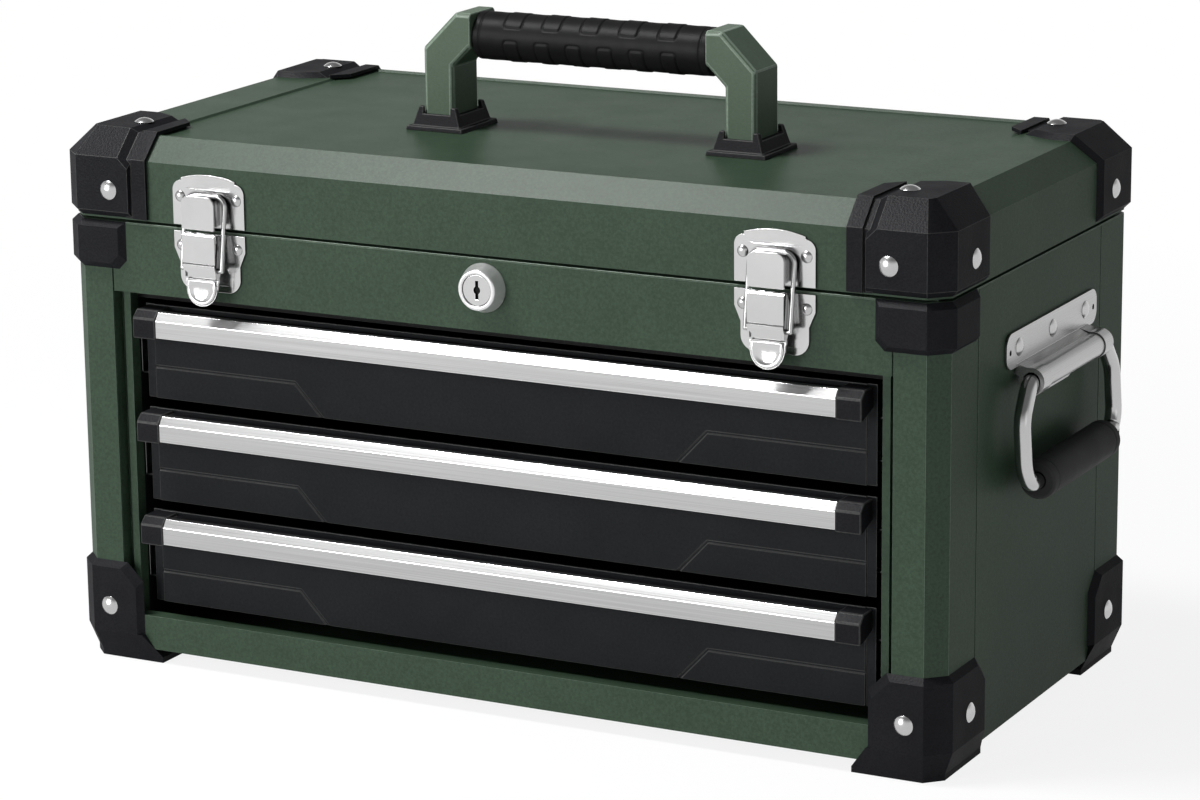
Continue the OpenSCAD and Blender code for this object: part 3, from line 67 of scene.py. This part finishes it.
def make_camera():
    """A long lens at the photograph's angle, with no lens shift and no blur."""
    az = math.radians(CAMERA_AZIMUTH)
    el = math.radians(CAMERA_ELEVATION)
    roll = math.radians(CAMERA_ROLL)
    back = Vector((math.sin(az) * math.cos(el), -math.cos(az) * math.cos(el), math.sin(el)))
    level = Vector((0, 0, 1)).cross(back).normalized()
    raised = back.cross(level)
    right = level * math.cos(roll) + raised * math.sin(roll)
    up = raised * math.cos(roll) - level * math.sin(roll)
    eye = CAMERA_TARGET + back * CAMERA_DISTANCE
    eye += level * CAMERA_OFFSET[0] + raised * CAMERA_OFFSET[1]
    data = bpy.data.cameras.new("camera")
    data.sensor_width = SENSOR_WIDTH
    data.lens = FOCAL_PIXELS * SENSOR_WIDTH / IMAGE_WIDTH
    data.clip_end = CAMERA_REACH
    camera = link(bpy.data.objects.new("camera", data))
    turn = Matrix((right, up, back)).transposed().to_4x4()
    camera.matrix_world = Matrix.Translation(eye) @ turn
    bpy.context.scene.camera = camera


def link(obj):
    bpy.context.scene.collection.objects.link(obj)
    return obj


# ------------------------------------------------------------------ material tools

# Part of a noise's range that its tones and roughness run over: it seldom leaves it
NOISE_BAND = (0.3, 0.7)
WHITE = (1, 1, 1, 1)
BLACK = (0, 0, 0, 1)


class Tree:
    """Builds the nodes of one material, or of the world, with short calls."""

    def __init__(self, name, world_tree=None):
        if world_tree is None:
            self.material = bpy.data.materials.new(name)
            self.material.use_nodes = True
        self.tree = world_tree or self.material.node_tree
        self.tree.nodes.clear()
        kind = "World" if world_tree else "Material"
        self.out = self.tree.nodes.new("ShaderNodeOutput" + kind)

    def add(self, kind, inputs=None, **settings):
        made = self.tree.nodes.new("ShaderNode" + kind)
        for key, value in settings.items():
            setattr(made, key, value)
        for key, value in (inputs or {}).items():
            self.put(made.inputs[key], value)
        return made

    def put(self, socket, value):
        if isinstance(value, bpy.types.NodeSocket):
            self.tree.links.new(value, socket)
        else:
            socket.default_value = value

    def show(self, shader):
        """Makes a node's first output the surface."""
        self.tree.links.new(shader.outputs[0], self.out.inputs["Surface"])

    def place(self):
        return self.add("TexCoord").outputs["Object"]

    def noise(self, scale, detail=3.0, rough=0.5, vector=None):
        where = vector if vector is not None else self.place()
        inputs = {"Vector": where, "Scale": scale, "Detail": detail, "Roughness": rough}
        return self.add("TexNoise", inputs).outputs["Fac"]

    def cells(self, scale):
        inputs = {"Vector": self.place(), "Scale": scale}
        return self.add("TexVoronoi", inputs).outputs["Distance"]

    def ramp(self, fac, low, high, colours):
        """Fac between low and high runs over the colours."""
        made = self.add("ValToRGB", {"Fac": fac})
        band = made.color_ramp
        while len(band.elements) < len(colours):
            band.elements.new(0.5)
        for i, colour in enumerate(colours):
            share = i / (len(colours) - 1)
            band.elements[i].position = low + (high - low) * share
            band.elements[i].color = (*colour, 1)
        return made.outputs["Color"]

    def spread(self, fac, low, high, to_low, to_high):
        """Maps fac from low..high to to_low..to_high, held at both ends."""
        inputs = {0: fac, 1: low, 2: high, 3: to_low, 4: to_high}
        return self.add("MapRange", inputs).outputs[0]

    def math(self, operation, a, b):
        return self.add("Math", {0: a, 1: b}, operation=operation).outputs[0]

    def mix(self, factor, a, b, blend="MIX"):
        inputs = {"Factor": factor, "A": a, "B": b}
        return self.add("Mix", inputs, data_type="RGBA", blend_type=blend).outputs["Result"]

    def bump(self, height, distance, strength):
        inputs = {"Height": height, "Distance": distance, "Strength": strength}
        return self.add("Bump", inputs).outputs["Normal"]

    def surface(self, **inputs):
        """The main shader: names are its sockets' names with _ for spaces."""
        shader = self.add("BsdfPrincipled")
        for key, value in inputs.items():
            self.put(shader.inputs[key.replace("_", " ")], value)
        self.show(shader)
        return self.material


def grey(value):
    return (value, value, value)


# ------------------------------------------------------------------ materials

# Painted and moulded surfaces show little of the white room, and a thin lacquer shows the lamps
LOW_GLOSS = 0.01
LACQUER_IOR = 2.4

# Painted shade in gaps and inner corners: metres that it reaches, share of open sky where it starts
# and ends, lowest tone
GAP_SHADE_REACH = 0.0035
GAP_SHADE_BAND = (0.38, 0.80)
GAP_SHADE_TONE = 0.05
GAP_SHADE_SAMPLES = 16


def painted_gap_shade(t, tone, reach=GAP_SHADE_REACH):
    """Darkens a colour in narrow gaps and inner corners, as painted shade where little light
    reaches.
    """
    opened = t.add("AmbientOcclusion", {"Distance": reach}, samples=GAP_SHADE_SAMPLES).outputs["AO"]
    return t.mix(t.spread(opened, *GAP_SHADE_BAND, GAP_SHADE_TONE, 1.0), BLACK, tone)


def paint(name, dark, light, roughness, lacquer=0.065, grain=620, depth=0.00014, speck=0.16):
    """Powder coat with a fine pebbled skin, slightly uneven in tone."""
    t = Tree(name)
    tone = t.ramp(t.noise(30, 4), *NOISE_BAND, [dark, light])
    pebble = t.noise(grain, 5, 0.7)
    fine = t.ramp(pebble, 0.36, 0.64, [grey(0.96 - speck), grey(0.96 + speck)])
    tone = t.mix(1.0, tone, fine, "MULTIPLY")
    rough = t.spread(t.noise(40, 5), *NOISE_BAND, roughness - 0.02, roughness + 0.03)
    normal = t.bump(pebble, depth, 0.6)
    return t.surface(
        Base_Color=tone, Roughness=rough, Normal=normal, Specular_IOR_Level=LOW_GLOSS,
        Coat_Weight=lacquer, Coat_IOR=LACQUER_IOR, Coat_Roughness=0.34, Coat_Normal=normal)


def plastic(name, dark, light, roughness, lacquer=0.012, grain=900, depth=0.00015):
    """Moulded plastic with an etched grain."""
    t = Tree(name)
    tone = t.ramp(t.noise(30, 4), *NOISE_BAND, [dark, light])
    etched = t.cells(grain)
    tone = t.mix(1.0, tone, t.ramp(etched, 0.2, 0.7, [grey(0.8), grey(1.1)]), "MULTIPLY")
    rough = t.spread(t.noise(60, 4), *NOISE_BAND, roughness - 0.05, roughness + 0.06)
    normal = t.bump(etched, depth, 0.5)
    return t.surface(
        Base_Color=tone, Roughness=rough, Normal=normal, Specular_IOR_Level=LOW_GLOSS,
        Coat_Weight=lacquer, Coat_IOR=LACQUER_IOR, Coat_Roughness=0.36, Coat_Normal=normal)


def plated(name, dark, light, roughness, reach=GAP_SHADE_REACH, wave=0.000004, metal=1.0):
    """Bright plate over pressed steel, very slightly wavy. A reach of 0 leaves out the painted
    shade in gaps.
    """
    t = Tree(name)
    tone = t.ramp(t.noise(25, 4), *NOISE_BAND, [dark, light])
    # Painted shade: the colour darkens in narrow gaps and inner corners.
    if reach:
        tone = painted_gap_shade(t, tone, reach)
    rough = t.spread(t.noise(400, 3), 0.35, 0.7, roughness * 0.92, roughness * 1.12)
    normal = t.bump(t.noise(160, 3), wave, 0.4)
    return t.surface(Base_Color=tone, Metallic=metal, Roughness=rough, Normal=normal)


# Scales of the noise along and across the lines of a brushed metal
BRUSH_ALONG = 6
BRUSH_ACROSS = 2600


def brushed(name, dark, light, roughness, along="X", depth=0.00002):
    """Metal brushed along one axis."""
    t = Tree(name)
    stretch = [BRUSH_ALONG if axis == along else BRUSH_ACROSS for axis in "XYZ"]
    where = t.add("Mapping", {"Vector": t.place(), "Scale": stretch}).outputs["Vector"]
    lines = t.noise(1, 3, 0.6, where)
    # The tone takes painted shade in narrow gaps and inner corners.
    tone = painted_gap_shade(t, t.ramp(lines, *NOISE_BAND, [dark, light]))
    rough = t.spread(lines, *NOISE_BAND, roughness - 0.02, roughness + 0.03)
    normal = t.bump(lines, depth, 0.4)
    return t.surface(Base_Color=tone, Metallic=1.0, Roughness=rough, Normal=normal)


def rubber(name, dark, light, roughness, lacquer=0.03, grain=1900, depth=0.0001):
    """Matt rubber with a fine tooth."""
    t = Tree(name)
    tone = t.ramp(t.noise(60, 4), *NOISE_BAND, [dark, light])
    normal = t.bump(t.noise(grain, 3, 0.6), depth, 0.6)
    rough = t.spread(t.noise(90, 4), *NOISE_BAND, roughness - 0.06, roughness + 0.06)
    return t.surface(
        Base_Color=tone, Roughness=rough, Normal=normal, Specular_IOR_Level=LOW_GLOSS,
        Coat_Weight=lacquer, Coat_IOR=LACQUER_IOR, Coat_Roughness=0.38, Coat_Normal=normal)


def make_materials():
    """Two materials for each finish: one for faces, and one for the rounded edges, lighter in most
    finishes as a painted highlight.
    """
    return {
        "green_paint": (
            paint("green_paint", (0.0308, 0.0525, 0.0328), (0.0345, 0.0585, 0.0367), 0.38),
            paint("green_edge", (0.125, 0.170, 0.128), (0.145, 0.190, 0.148), 0.30, 0.14)),
        # The handle's green is a lighter copy of the box's green paint: painted light, standing in
        # for the brighter light on the handle.
        "lit_handle_green": (
            paint("lit_handle_green", (0.074, 0.108, 0.074), (0.082, 0.118, 0.082), 0.36, speck=0.06),
            paint("handle_edge", (0.160, 0.210, 0.162), (0.180, 0.230, 0.182), 0.30, 0.12)),
        "side_rubber": (
            rubber("side_rubber", grey(0.036), grey(0.042), 0.5),
            rubber("side_rubber_edge", grey(0.040), grey(0.050), 0.45)),
        "satin_lock": (
            plated("satin_lock", grey(0.66), grey(0.74), 0.30, 0, metal=0.7),
            plated("satin_lock_edge", grey(0.66), grey(0.74), 0.24, 0)),
        "black_plastic": (
            plastic("black_plastic", (0.0092, 0.0093, 0.0108), (0.0125, 0.0127, 0.0145), 0.50,
                    0.02),
            plastic("black_plastic_edge", grey(0.034), grey(0.044), 0.38, 0.05)),
        "black_steel": (
            paint("black_steel", grey(0.010), grey(0.013), 0.42, 0.03),
            paint("black_steel_edge", grey(0.018), grey(0.024), 0.32, 0.08)),
        "drawer_black": (
            paint("drawer_black", (0.0118, 0.0128, 0.0140), (0.0148, 0.0160, 0.0172), 0.42, 0.03),
            paint("drawer_edge", grey(0.040), grey(0.052), 0.32, 0.10)),
        "chrome": (
            plated("chrome", grey(0.56), grey(0.63), 0.16),
            plated("chrome_edge", grey(0.80), grey(0.86), 0.12)),
        "wire_chrome": (
            plated("wire_chrome", grey(0.42), grey(0.50), 0.18),
            plated("wire_chrome_edge", grey(0.42), grey(0.50), 0.16)),
        "satin_nickel": (
            plated("satin_nickel", grey(0.46), grey(0.54), 0.24, 0.005),
            plated("satin_nickel_edge", grey(0.50), grey(0.58), 0.22, 0.005)),
        "stainless": (
            brushed("stainless", grey(0.40), grey(0.42), 0.28, "Y", 0.000003),
            brushed("stainless_edge", grey(0.66), grey(0.74), 0.20, "Y")),
        # Its wide reach paints shade over the slides deep inside the cabinet.
        "zinc_steel": (
            plated("zinc_steel", (0.44, 0.45, 0.48), (0.48, 0.49, 0.52), 0.38, 0.012),
            plated("zinc_edge", grey(0.54), grey(0.60), 0.30, 0.012)),
        "aluminium_strip": (
            brushed("aluminium_strip", grey(0.36), grey(0.48), 0.32, "X"),
            brushed("aluminium_edge", grey(0.84), grey(0.90), 0.24, "X")),
        "rubber": (
            rubber("rubber", grey(0.0085), grey(0.012), 0.55),
            rubber("rubber_edge", grey(0.014), grey(0.020), 0.45)),
    }


# ------------------------------------------------------------------ stage and light

FLOOR_HALF = 6.0
FLOOR_TONES = [grey(0.86), grey(0.88)]
# The floor's own white grows from a share near the box to all of it, over these metres
FLOOR_FADE = (0.4, 1.2)
FLOOR_NEAR_WHITE = 0.86

AMBIENT = (0.20, 0.205, 0.215, 1)
# Glossy surfaces see the white backdrop up to a height, and over it a darker ceiling
CEILING = 0.22
CEILING_BAND = (0.25, 0.60)

BOX_MIDDLE = (0, 0, 0.18)
LID_EDGE = (0, -0.13, 0.29)
# Lamps: place, target, width and height in metres, and power in watts
LAMPS = {
    "key": ((-1.5, -2.6, 0.9), BOX_MIDDLE, (1.4, 1.4), 50),
    "fill": ((2.6, -1.0, 1.0), BOX_MIDDLE, (1.2, 1.2), 1.5),
    "top": ((-1.1, -0.74, 2.5), LID_EDGE, (0.7, 0.7), 74),
}


def background_share(t, path):
    """1 for rays that show the background itself: seen straight on, in metal or through glass."""
    seen = t.math("MAXIMUM", path["Is Camera Ray"], path["Is Glossy Ray"])
    return t.math("MAXIMUM", seen, path["Is Transmission Ray"])


def make_floor():
    """A pale floor that keeps the soft shadow."""
    mesh = bpy.data.meshes.new("floor")
    half = FLOOR_HALF
    mesh.from_pydata([(-half, -half, 0), (half, -half, 0), (half, half, 0), (-half, half, 0)],
                     [], [(0, 1, 2, 3)])
    floor = link(bpy.data.objects.new("floor", mesh))
    t = Tree("floor")
    body = t.add("BsdfDiffuse", {"Color": t.ramp(t.noise(3, 3), *NOISE_BAND, FLOOR_TONES)})
    glow = t.add("Emission", {"Color": WHITE, "Strength": 1.0})
    out = t.add("VectorMath", {0: t.place()}, operation="LENGTH").outputs["Value"]
    white = t.spread(out, *FLOOR_FADE, FLOOR_NEAR_WHITE, 1.0)
    share = t.math("MULTIPLY", background_share(t, t.add("LightPath").outputs), white)
    t.show(t.add("MixShader", {0: share, 1: body.outputs[0], 2: glow.outputs[0]}))
    mesh.materials.append(t.material)


def make_world():
    """A white studio to the camera, and an even, dimmer light to the object."""
    world = bpy.data.worlds.new("studio")
    bpy.context.scene.world = world
    world.use_nodes = True
    t = Tree("studio", world.node_tree)
    path = t.add("LightPath").outputs
    height = t.add("SeparateXYZ", {0: t.add("TexCoord").outputs["Generated"]}).outputs["Z"]
    ceiling = t.ramp(height, *CEILING_BAND, [grey(1.0), grey(CEILING)])
    shown = t.mix(path["Is Glossy Ray"], WHITE, ceiling)
    t.show(t.add("Background", {"Color": t.mix(background_share(t, path), AMBIENT, shown)}))


def make_lamps():
    for name, (place, target, size, power) in LAMPS.items():
        data = bpy.data.lights.new(name, "AREA")
        data.shape = "RECTANGLE"
        data.size, data.size_y = size
        data.energy = power
        obj = link(bpy.data.objects.new(name, data))
        obj.location = place
        aim = Vector(target) - Vector(place)
        obj.rotation_euler = aim.to_track_quat("-Z", "Y").to_euler()


# ------------------------------------------------------------------ finishing the frame's nodes

# Edge radius in metres of each kind of node
EDGE = {
    "green_paint": 0.0008, "black_plastic": 0.0009, "black_steel": 0.0004,
    "drawer_black": 0.0005, "chrome": 0.0003, "satin_nickel": 0.0003, "stainless": 0.0003,
    "zinc_steel": 0.0002, "aluminium_strip": 0.0003, "rubber": 0.0006,
}
# Nodes with a radius of their own, which narrow faces don't reduce
EDGE_OF_NODE = {"top_handle_frame": 0.0008}
EDGE_ANGLE = math.radians(20)
EDGE_SEGMENTS = 2
# Vertices closer than this are one, and faces flatter than this to each other are one
WELD_GAP = 1e-5
FLAT_ANGLE = math.radians(0.3)
NORMAL_WEIGHT = 90
# Nodes with a finish of their own within their slot
SPECIAL = {
    "top_handle_frame": "lit_handle_green", "lock_housing": "satin_lock",
    "latch_loop_left": "wire_chrome", "latch_loop_right": "wire_chrome",
    "side_grip_left": "side_rubber", "side_grip_right": "side_rubber",
}


def smooth_group():
    """A node group that only marks faces as smooth, so the frame's own mesh stays as it is."""
    group = bpy.data.node_groups.new("shade_smooth", "GeometryNodeTree")
    for way in ("INPUT", "OUTPUT"):
        group.interface.new_socket("Geometry", in_out=way, socket_type="NodeSocketGeometry")
    start = group.nodes.new("NodeGroupInput")
    smooth = group.nodes.new("GeometryNodeSetShadeSmooth")
    end = group.nodes.new("NodeGroupOutput")
    group.links.new(start.outputs[0], smooth.inputs[0])
    group.links.new(smooth.outputs[0], end.inputs[0])
    return group


def round_edges(obj, width, clamp, group):
    """Rounds the sharp edges and gives the rounding the object's second material, a painted
    highlight in most finishes.
    """
    weld = obj.modifiers.new("weld", "WELD")
    weld.merge_threshold = WELD_GAP
    merge = obj.modifiers.new("merge", "DECIMATE")
    merge.decimate_type = "DISSOLVE"
    merge.angle_limit = FLAT_ANGLE
    bevel = obj.modifiers.new("edge", "BEVEL")
    bevel.width = width
    bevel.segments = EDGE_SEGMENTS
    bevel.limit_method = "ANGLE"
    bevel.angle_limit = EDGE_ANGLE
    # The rounding takes the second material, lighter in most finishes: a painted highlight along
    # the edges.
    bevel.material = 1
    bevel.use_clamp_overlap = clamp
    obj.modifiers.new("smooth", "NODES").node_group = group
    obj.modifiers.new("normals", "WEIGHTED_NORMAL").weight = NORMAL_WEIGHT


def finish_nodes(materials):
    """Gives every node of the frame its materials and rounded edges."""
    group = smooth_group()
    for part in frame["record"]["subparts"]:
        name, slot = part["node"], part["material_slot"]
        obj = nodes[name]
        obj.data.materials.clear()
        for material in materials[SPECIAL.get(name, slot)]:
            obj.data.materials.append(material)
        own = EDGE_OF_NODE.get(name)
        round_edges(obj, own or EDGE[slot], own is None, group)


# ------------------------------------------------------------------ pieces


def piece(name, verts, faces, slot, body, materials, smooth=True, finish=None):
    """A new piece in metres from points in millimetres."""
    mesh = bpy.data.meshes.new(name)
    mesh.from_pydata([Vector(v) * MM for v in verts], [], faces)
    mesh.validate()
    shape = bmesh.new()
    shape.from_mesh(mesh)
    bmesh.ops.recalc_face_normals(shape, faces=shape.faces)
    shape.to_mesh(mesh)
    shape.free()
    for polygon in mesh.polygons:
        polygon.use_smooth = smooth
    for material in materials[finish or slot]:
        mesh.materials.append(material)
    obj = link(bpy.data.objects.new(name, mesh))
    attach(obj, body)
    return obj


def ring_faces(rings, count):
    """Faces between rings of count points each."""
    return [
        (i * count + j, i * count + (j + 1) % count,
         (i + 1) * count + (j + 1) % count, (i + 1) * count + j)
        for i in range(rings - 1) for j in range(count)
    ]


def ease(x, low, high):
    """0 up to low and 1 from high, with a smooth step between."""
    x = min(max((x - low) / (high - low), 0), 1)
    return x * x * (3 - 2 * x)


# ------------------------------------------------------------------ top grip

# Pads moulded on the top grip: middles along it, half width and angles, from the front upwards
UPPER_PADS = ([24.5 + 23.2 * i for i in range(5)], 5.4, 30, 150)
LOWER_PADS = ([24.0 + 19.0 * i for i in range(6)], 4.4, -176, -2)
PAD_CORNER = 1.8
PAD_RISE = 0.35
PAD_SLOPE = 0.3
GROOVE_DEPTH = 0.8
GROOVE_HALF = 0.62
# Line turned round the grip near each end: its place from the end, depth and half width
END_LINE = 4.5
END_LINE_DEPTH = 0.45
END_LINE_HALF = 0.7
# Radius of the rolled edge at each end, and the skin's faint waves: depth, radians a millimetre
END_ROLL = 1.3
WAVE_DEPTH = 0.12
WAVE_RATE = 0.55
# The mesh: steps along and around, places of the extra rings at each end, start of the even steps
GRIP_ALONG = 300
GRIP_AROUND = 132
GRIP_END_RINGS = [0.0, 0.05, 0.15, 0.3, 0.5, 0.8]
GRIP_EVEN_START = 1.1
GRIP_BORE = 7.1


def pad_distance(u, angle, radius, pads):
    """Distance in mm, along the skin, to the outline of the nearest pad: inside it is negative."""
    middles, half, low, high = pads
    half_arc = math.radians(high - low) / 2 * radius
    v = math.radians(angle - (low + high) / 2) * radius
    best = math.inf
    for middle in middles:
        du = abs(u - middle) - half + PAD_CORNER
        dv = abs(v) - half_arc + PAD_CORNER
        outside = math.hypot(max(du, 0), max(dv, 0))
        best = min(best, outside + min(max(du, dv), 0) - PAD_CORNER)
    return best


def grip_radius(u, angle, length, radius):
    """Radius of the grip's skin at a place along it and an angle round it."""
    near = min(
        pad_distance(u, angle, radius, UPPER_PADS),
        pad_distance(u, angle, radius, LOWER_PADS))
    r = radius - PAD_RISE * ease(near, -PAD_SLOPE, PAD_SLOPE)
    r -= GROOVE_DEPTH * (1 - ease(abs(near), 0.0, GROOVE_HALF))
    end = min(u, length - u)
    r -= END_LINE_DEPTH * (1 - ease(abs(end - END_LINE), 0.0, END_LINE_HALF))
    if end < END_ROLL:
        r -= END_ROLL - math.sqrt(max(END_ROLL * END_ROLL - (END_ROLL - end) ** 2, 0))
    return r - WAVE_DEPTH * (1 + math.sin(u * WAVE_RATE)) / 2


def make_top_grip(materials):
    """The moulded grip: two rows of pads with grooves round them, and a rolled edge at each end."""
    low, high = [Vector(corner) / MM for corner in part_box("top_handle_grip")]
    length = high.x - low.x
    y, z, radius = (low.y + high.y) / 2, (low.z + high.z) / 2, (high.z - low.z) / 2
    even = length - 2 * GRIP_EVEN_START
    places = GRIP_END_RINGS + [
        GRIP_EVEN_START + even * i / GRIP_ALONG for i in range(GRIP_ALONG + 1)
    ] + [length - end for end in reversed(GRIP_END_RINGS)]
    around = GRIP_AROUND
    angles = [360 * j / around - 180 for j in range(around)]

    def point(u, angle, r):
        a = math.radians(angle)
        return (low.x + u, y - r * math.cos(a), z + r * math.sin(a))

    verts = [point(u, a, grip_radius(u, a, length, radius)) for u in places for a in angles]
    inner = len(verts)
    verts += [point(u, a, GRIP_BORE) for u in (length, 0.0) for a in angles]
    faces = ring_faces(len(places), around)
    last = inner - around
    for j in range(around):
        k = (j + 1) % around
        faces.append((last + j, last + k, inner + k, inner + j))
        faces.append((inner + j, inner + k, inner + around + k, inner + around + j))
        faces.append((inner + around + j, inner + around + k, k, j))
    grip = piece("top_grip_moulded", verts, faces, "rubber", "lid", materials)
    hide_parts("top_handle_grip")


# ------------------------------------------------------------------ side handles

# The side handle's wire in its own plane: across from its middle, and down from its pivot
BAIL_PIVOT = Vector((269.5, 13, 192))
BAIL_LEAN = math.radians(3.5)
BAIL_RADIUS = 4.5
BAIL_BEND = 6.5
BAIL_POINTS = [(29.5, 0), (52.5, 0), (65, -17), (65, -44), (57, -53), (0, -53)]
BAIL_BEND_STEPS = 8
BAIL_SIDES = 28


def rounded_path(points, radius, steps):
    """The points with each inner corner turned into a smooth bend."""
    out = [points[0]]
    for a, b, c in zip(points, points[1:], points[2:]):
        cut = min(radius, (b - a).length / 2, (c - b).length / 2)
        start = b + (a - b).normalized() * cut
        end = b + (c - b).normalized() * cut
        for i in range(steps + 1):
            s = i / steps
            out.append(start * (1 - s) ** 2 + b * 2 * s * (1 - s) + end * s * s)
    return out + [points[-1]]


def sweep(path, radius, flat, sides):
    """A round bar along a path that lies in the plane across flat."""
    verts = []
    for i, point in enumerate(path):
        before, after = path[max(i - 1, 0)], path[min(i + 1, len(path) - 1)]
        side = (after - before).normalized().cross(flat)
        for j in range(sides):
            a = 2 * math.pi * j / sides
            verts.append(point + flat * (radius * math.cos(a)) + side * (radius * math.sin(a)))
    faces = ring_faces(len(path), sides)
    faces.append(tuple(reversed(range(sides))))
    faces.append(tuple(range(len(verts) - sides, len(verts))))
    return verts, faces


def make_bails(materials):
    """Bent wire of the side handles, with smooth bends."""
    half = [Vector((0, across, down)) for across, down in BAIL_POINTS]
    points = half + [Vector((0, -p.y, p.z)) for p in reversed(half[:-1])]
    path = rounded_path(points, BAIL_BEND, BAIL_BEND_STEPS)
    lean = Matrix.Rotation(-BAIL_LEAN, 3, "Y")
    for side, sign in (("left", -1), ("right", 1)):
        flip = Matrix.Diagonal((sign, 1, 1))
        place = Vector((BAIL_PIVOT.x * sign, BAIL_PIVOT.y, BAIL_PIVOT.z))
        track = [flip @ (lean @ p) + place for p in path]
        flat = (flip @ (lean @ Vector((1, 0, 0)))).normalized()
        verts, faces = sweep(track, BAIL_RADIUS, flat, BAIL_SIDES)
        obj = piece("bail_wire_" + side, verts, faces, "chrome", "bail_" + side, materials,
                    finish="wire_chrome")
        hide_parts("side_bail_" + side)


# ------------------------------------------------------------------ latches

# Dished thumb tab: share of the way to its middle, and height over the lever's tab
DISH = [(0, -0.15), (0, 0.35), (0.025, 0.8), (0.06, 1.05), (0.11, 1.15), (0.17, 1.1), (0.24, 0.9),
        (0.34, 0.5), (0.5, 0.2), (0.75, 0.08), (0.97, 0.05)]
# Its outline: half a circle below, straight sides, and a straight top edge
TAB_RADIUS = 9.1
TAB_TOP = 4.6
TAB_ARC_STEPS = 40
TAB_TOP_STEPS = 8
# Deepest place of the dish, up from the circle's middle
TAB_DEEPEST = -1.2
# The circle's middle: over the lever's foot, and behind the front of the lever's box
TAB_MIDDLE = 9.6
TAB_BEHIND = 0.5
TAB_SET = 1.4
# The tab's tilt: its run back over its height
TAB_TILT = math.atan2(1.6, 14.6)


def make_thumb_tabs(materials):
    """The pressed dish on each lever's tab, with a rolled rim."""
    across = Vector((1, 0, 0))
    up = Vector((0, math.sin(TAB_TILT), math.cos(TAB_TILT)))
    out = Vector((0, -math.cos(TAB_TILT), math.sin(TAB_TILT)))
    outline = []
    for i in range(TAB_ARC_STEPS + 1):
        a = math.pi * i / TAB_ARC_STEPS
        outline.append(across * (TAB_RADIUS * math.cos(a)) - up * (TAB_RADIUS * math.sin(a)))
    for i in range(TAB_TOP_STEPS + 1):
        x = -TAB_RADIUS + 2 * TAB_RADIUS * i / TAB_TOP_STEPS
        outline.append(across * x + up * TAB_TOP)
    heart = up * TAB_DEEPEST
    for side in ("left", "right"):
        low, high = [Vector(corner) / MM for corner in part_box("latch_lever_" + side)]
        y = low.y + TAB_BEHIND + TAB_SET + TAB_MIDDLE * math.sin(TAB_TILT)
        middle = Vector(((low.x + high.x) / 2, y, low.z + TAB_MIDDLE))
        verts = [middle + heart + (p - heart) * (1 - s) + out * h for s, h in DISH for p in outline]
        faces = ring_faces(len(DISH), len(outline))
        faces.append(tuple(range((len(DISH) - 1) * len(outline), len(verts))))
        faces.append(tuple(reversed(range(len(outline)))))
        piece("thumb_dish_" + side, verts, faces, "chrome", "lever_" + side, materials)


# ------------------------------------------------------------------ lock

# Painted shade in the keyway: a dark sheet shaped as a round hole with a narrower slot through it,
# set back from the plug's face
SLOT_WIDTH = 1.7
SLOT_HEIGHT = 9.8
KEYHOLE = 3.9
KEYWAY_DEPTH = 1.4
KEYWAY_THICKNESS = 1
KEYWAY_SIDES = 32
# A point of the circle nearer to the upright line than this lands on it
KEYWAY_CENTRED = 0.1

# Turned skin of the lock's bezel: radius, and depth behind the bezel's face
BEZEL_PROFILE = [
    (13.15, 7.95), (13.18, 7.35), (13.03, 7.0), (12.05, 4.0), (11.35, 1.9), (10.92, 0.6),
    (10.66, 0.15), (10.42, -0.1), (10.1, -0.2), (9.3, -0.2), (8.85, -0.14), (8.6, 0.1), (8.5, 0.6),
]
BEZEL_SIDES = 96


def make_keyway(materials):
    """A dark sheet inside the lock's slot: painted shade where the wards shut out the light."""
    low, high = [Vector(corner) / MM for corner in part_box("lock_plug")]
    x, z = (low.x + high.x) / 2, (low.z + high.z) / 2
    y0 = low.y + KEYWAY_DEPTH
    count = KEYWAY_SIDES
    outline = []
    for i in range(count):
        a = 2 * math.pi * i / count
        u, v = math.cos(a) * KEYHOLE / 2, math.sin(a) * KEYHOLE / 2
        if abs(u) < SLOT_WIDTH / 2:
            v = math.copysign(SLOT_HEIGHT / 2, v)
            u = math.copysign(SLOT_WIDTH / 2, u) if abs(u) > KEYWAY_CENTRED else 0
        outline.append((u, v))
    verts = [(x + u, y, z + v) for y in (y0, y0 + KEYWAY_THICKNESS) for u, v in outline]
    faces = ring_faces(2, count) + [tuple(reversed(range(count))), tuple(range(count, 2 * count))]
    piece("keyway_painted_shade", verts, faces, "rubber", "lock", materials, smooth=False)


def make_bezel(materials):
    """Turned and polished skin over the lock's bezel."""
    low, high = [Vector(corner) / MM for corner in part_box("lock_plug")]
    x, z = (low.x + high.x) / 2, (low.z + high.z) / 2
    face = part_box("lock_housing")[0][1] / MM
    verts = []
    for radius, depth in BEZEL_PROFILE:
        for j in range(BEZEL_SIDES):
            a = 2 * math.pi * j / BEZEL_SIDES
            verts.append((x + radius * math.cos(a), face + depth, z + radius * math.sin(a)))
    piece("lock_bezel_skin", verts, ring_faces(len(BEZEL_PROFILE), BEZEL_SIDES), "chrome",
          "cabinet", materials, finish="satin_lock")


# ------------------------------------------------------------------ the scene

scene = bpy.context.scene
scene.view_settings.view_transform = "Standard"

make_camera()
make_floor()
make_world()
make_lamps()
materials = make_materials()
finish_nodes(materials)
make_top_grip(materials)
make_bails(materials)
make_thumb_tabs(materials)
make_keyway(materials)
make_bezel(materials)
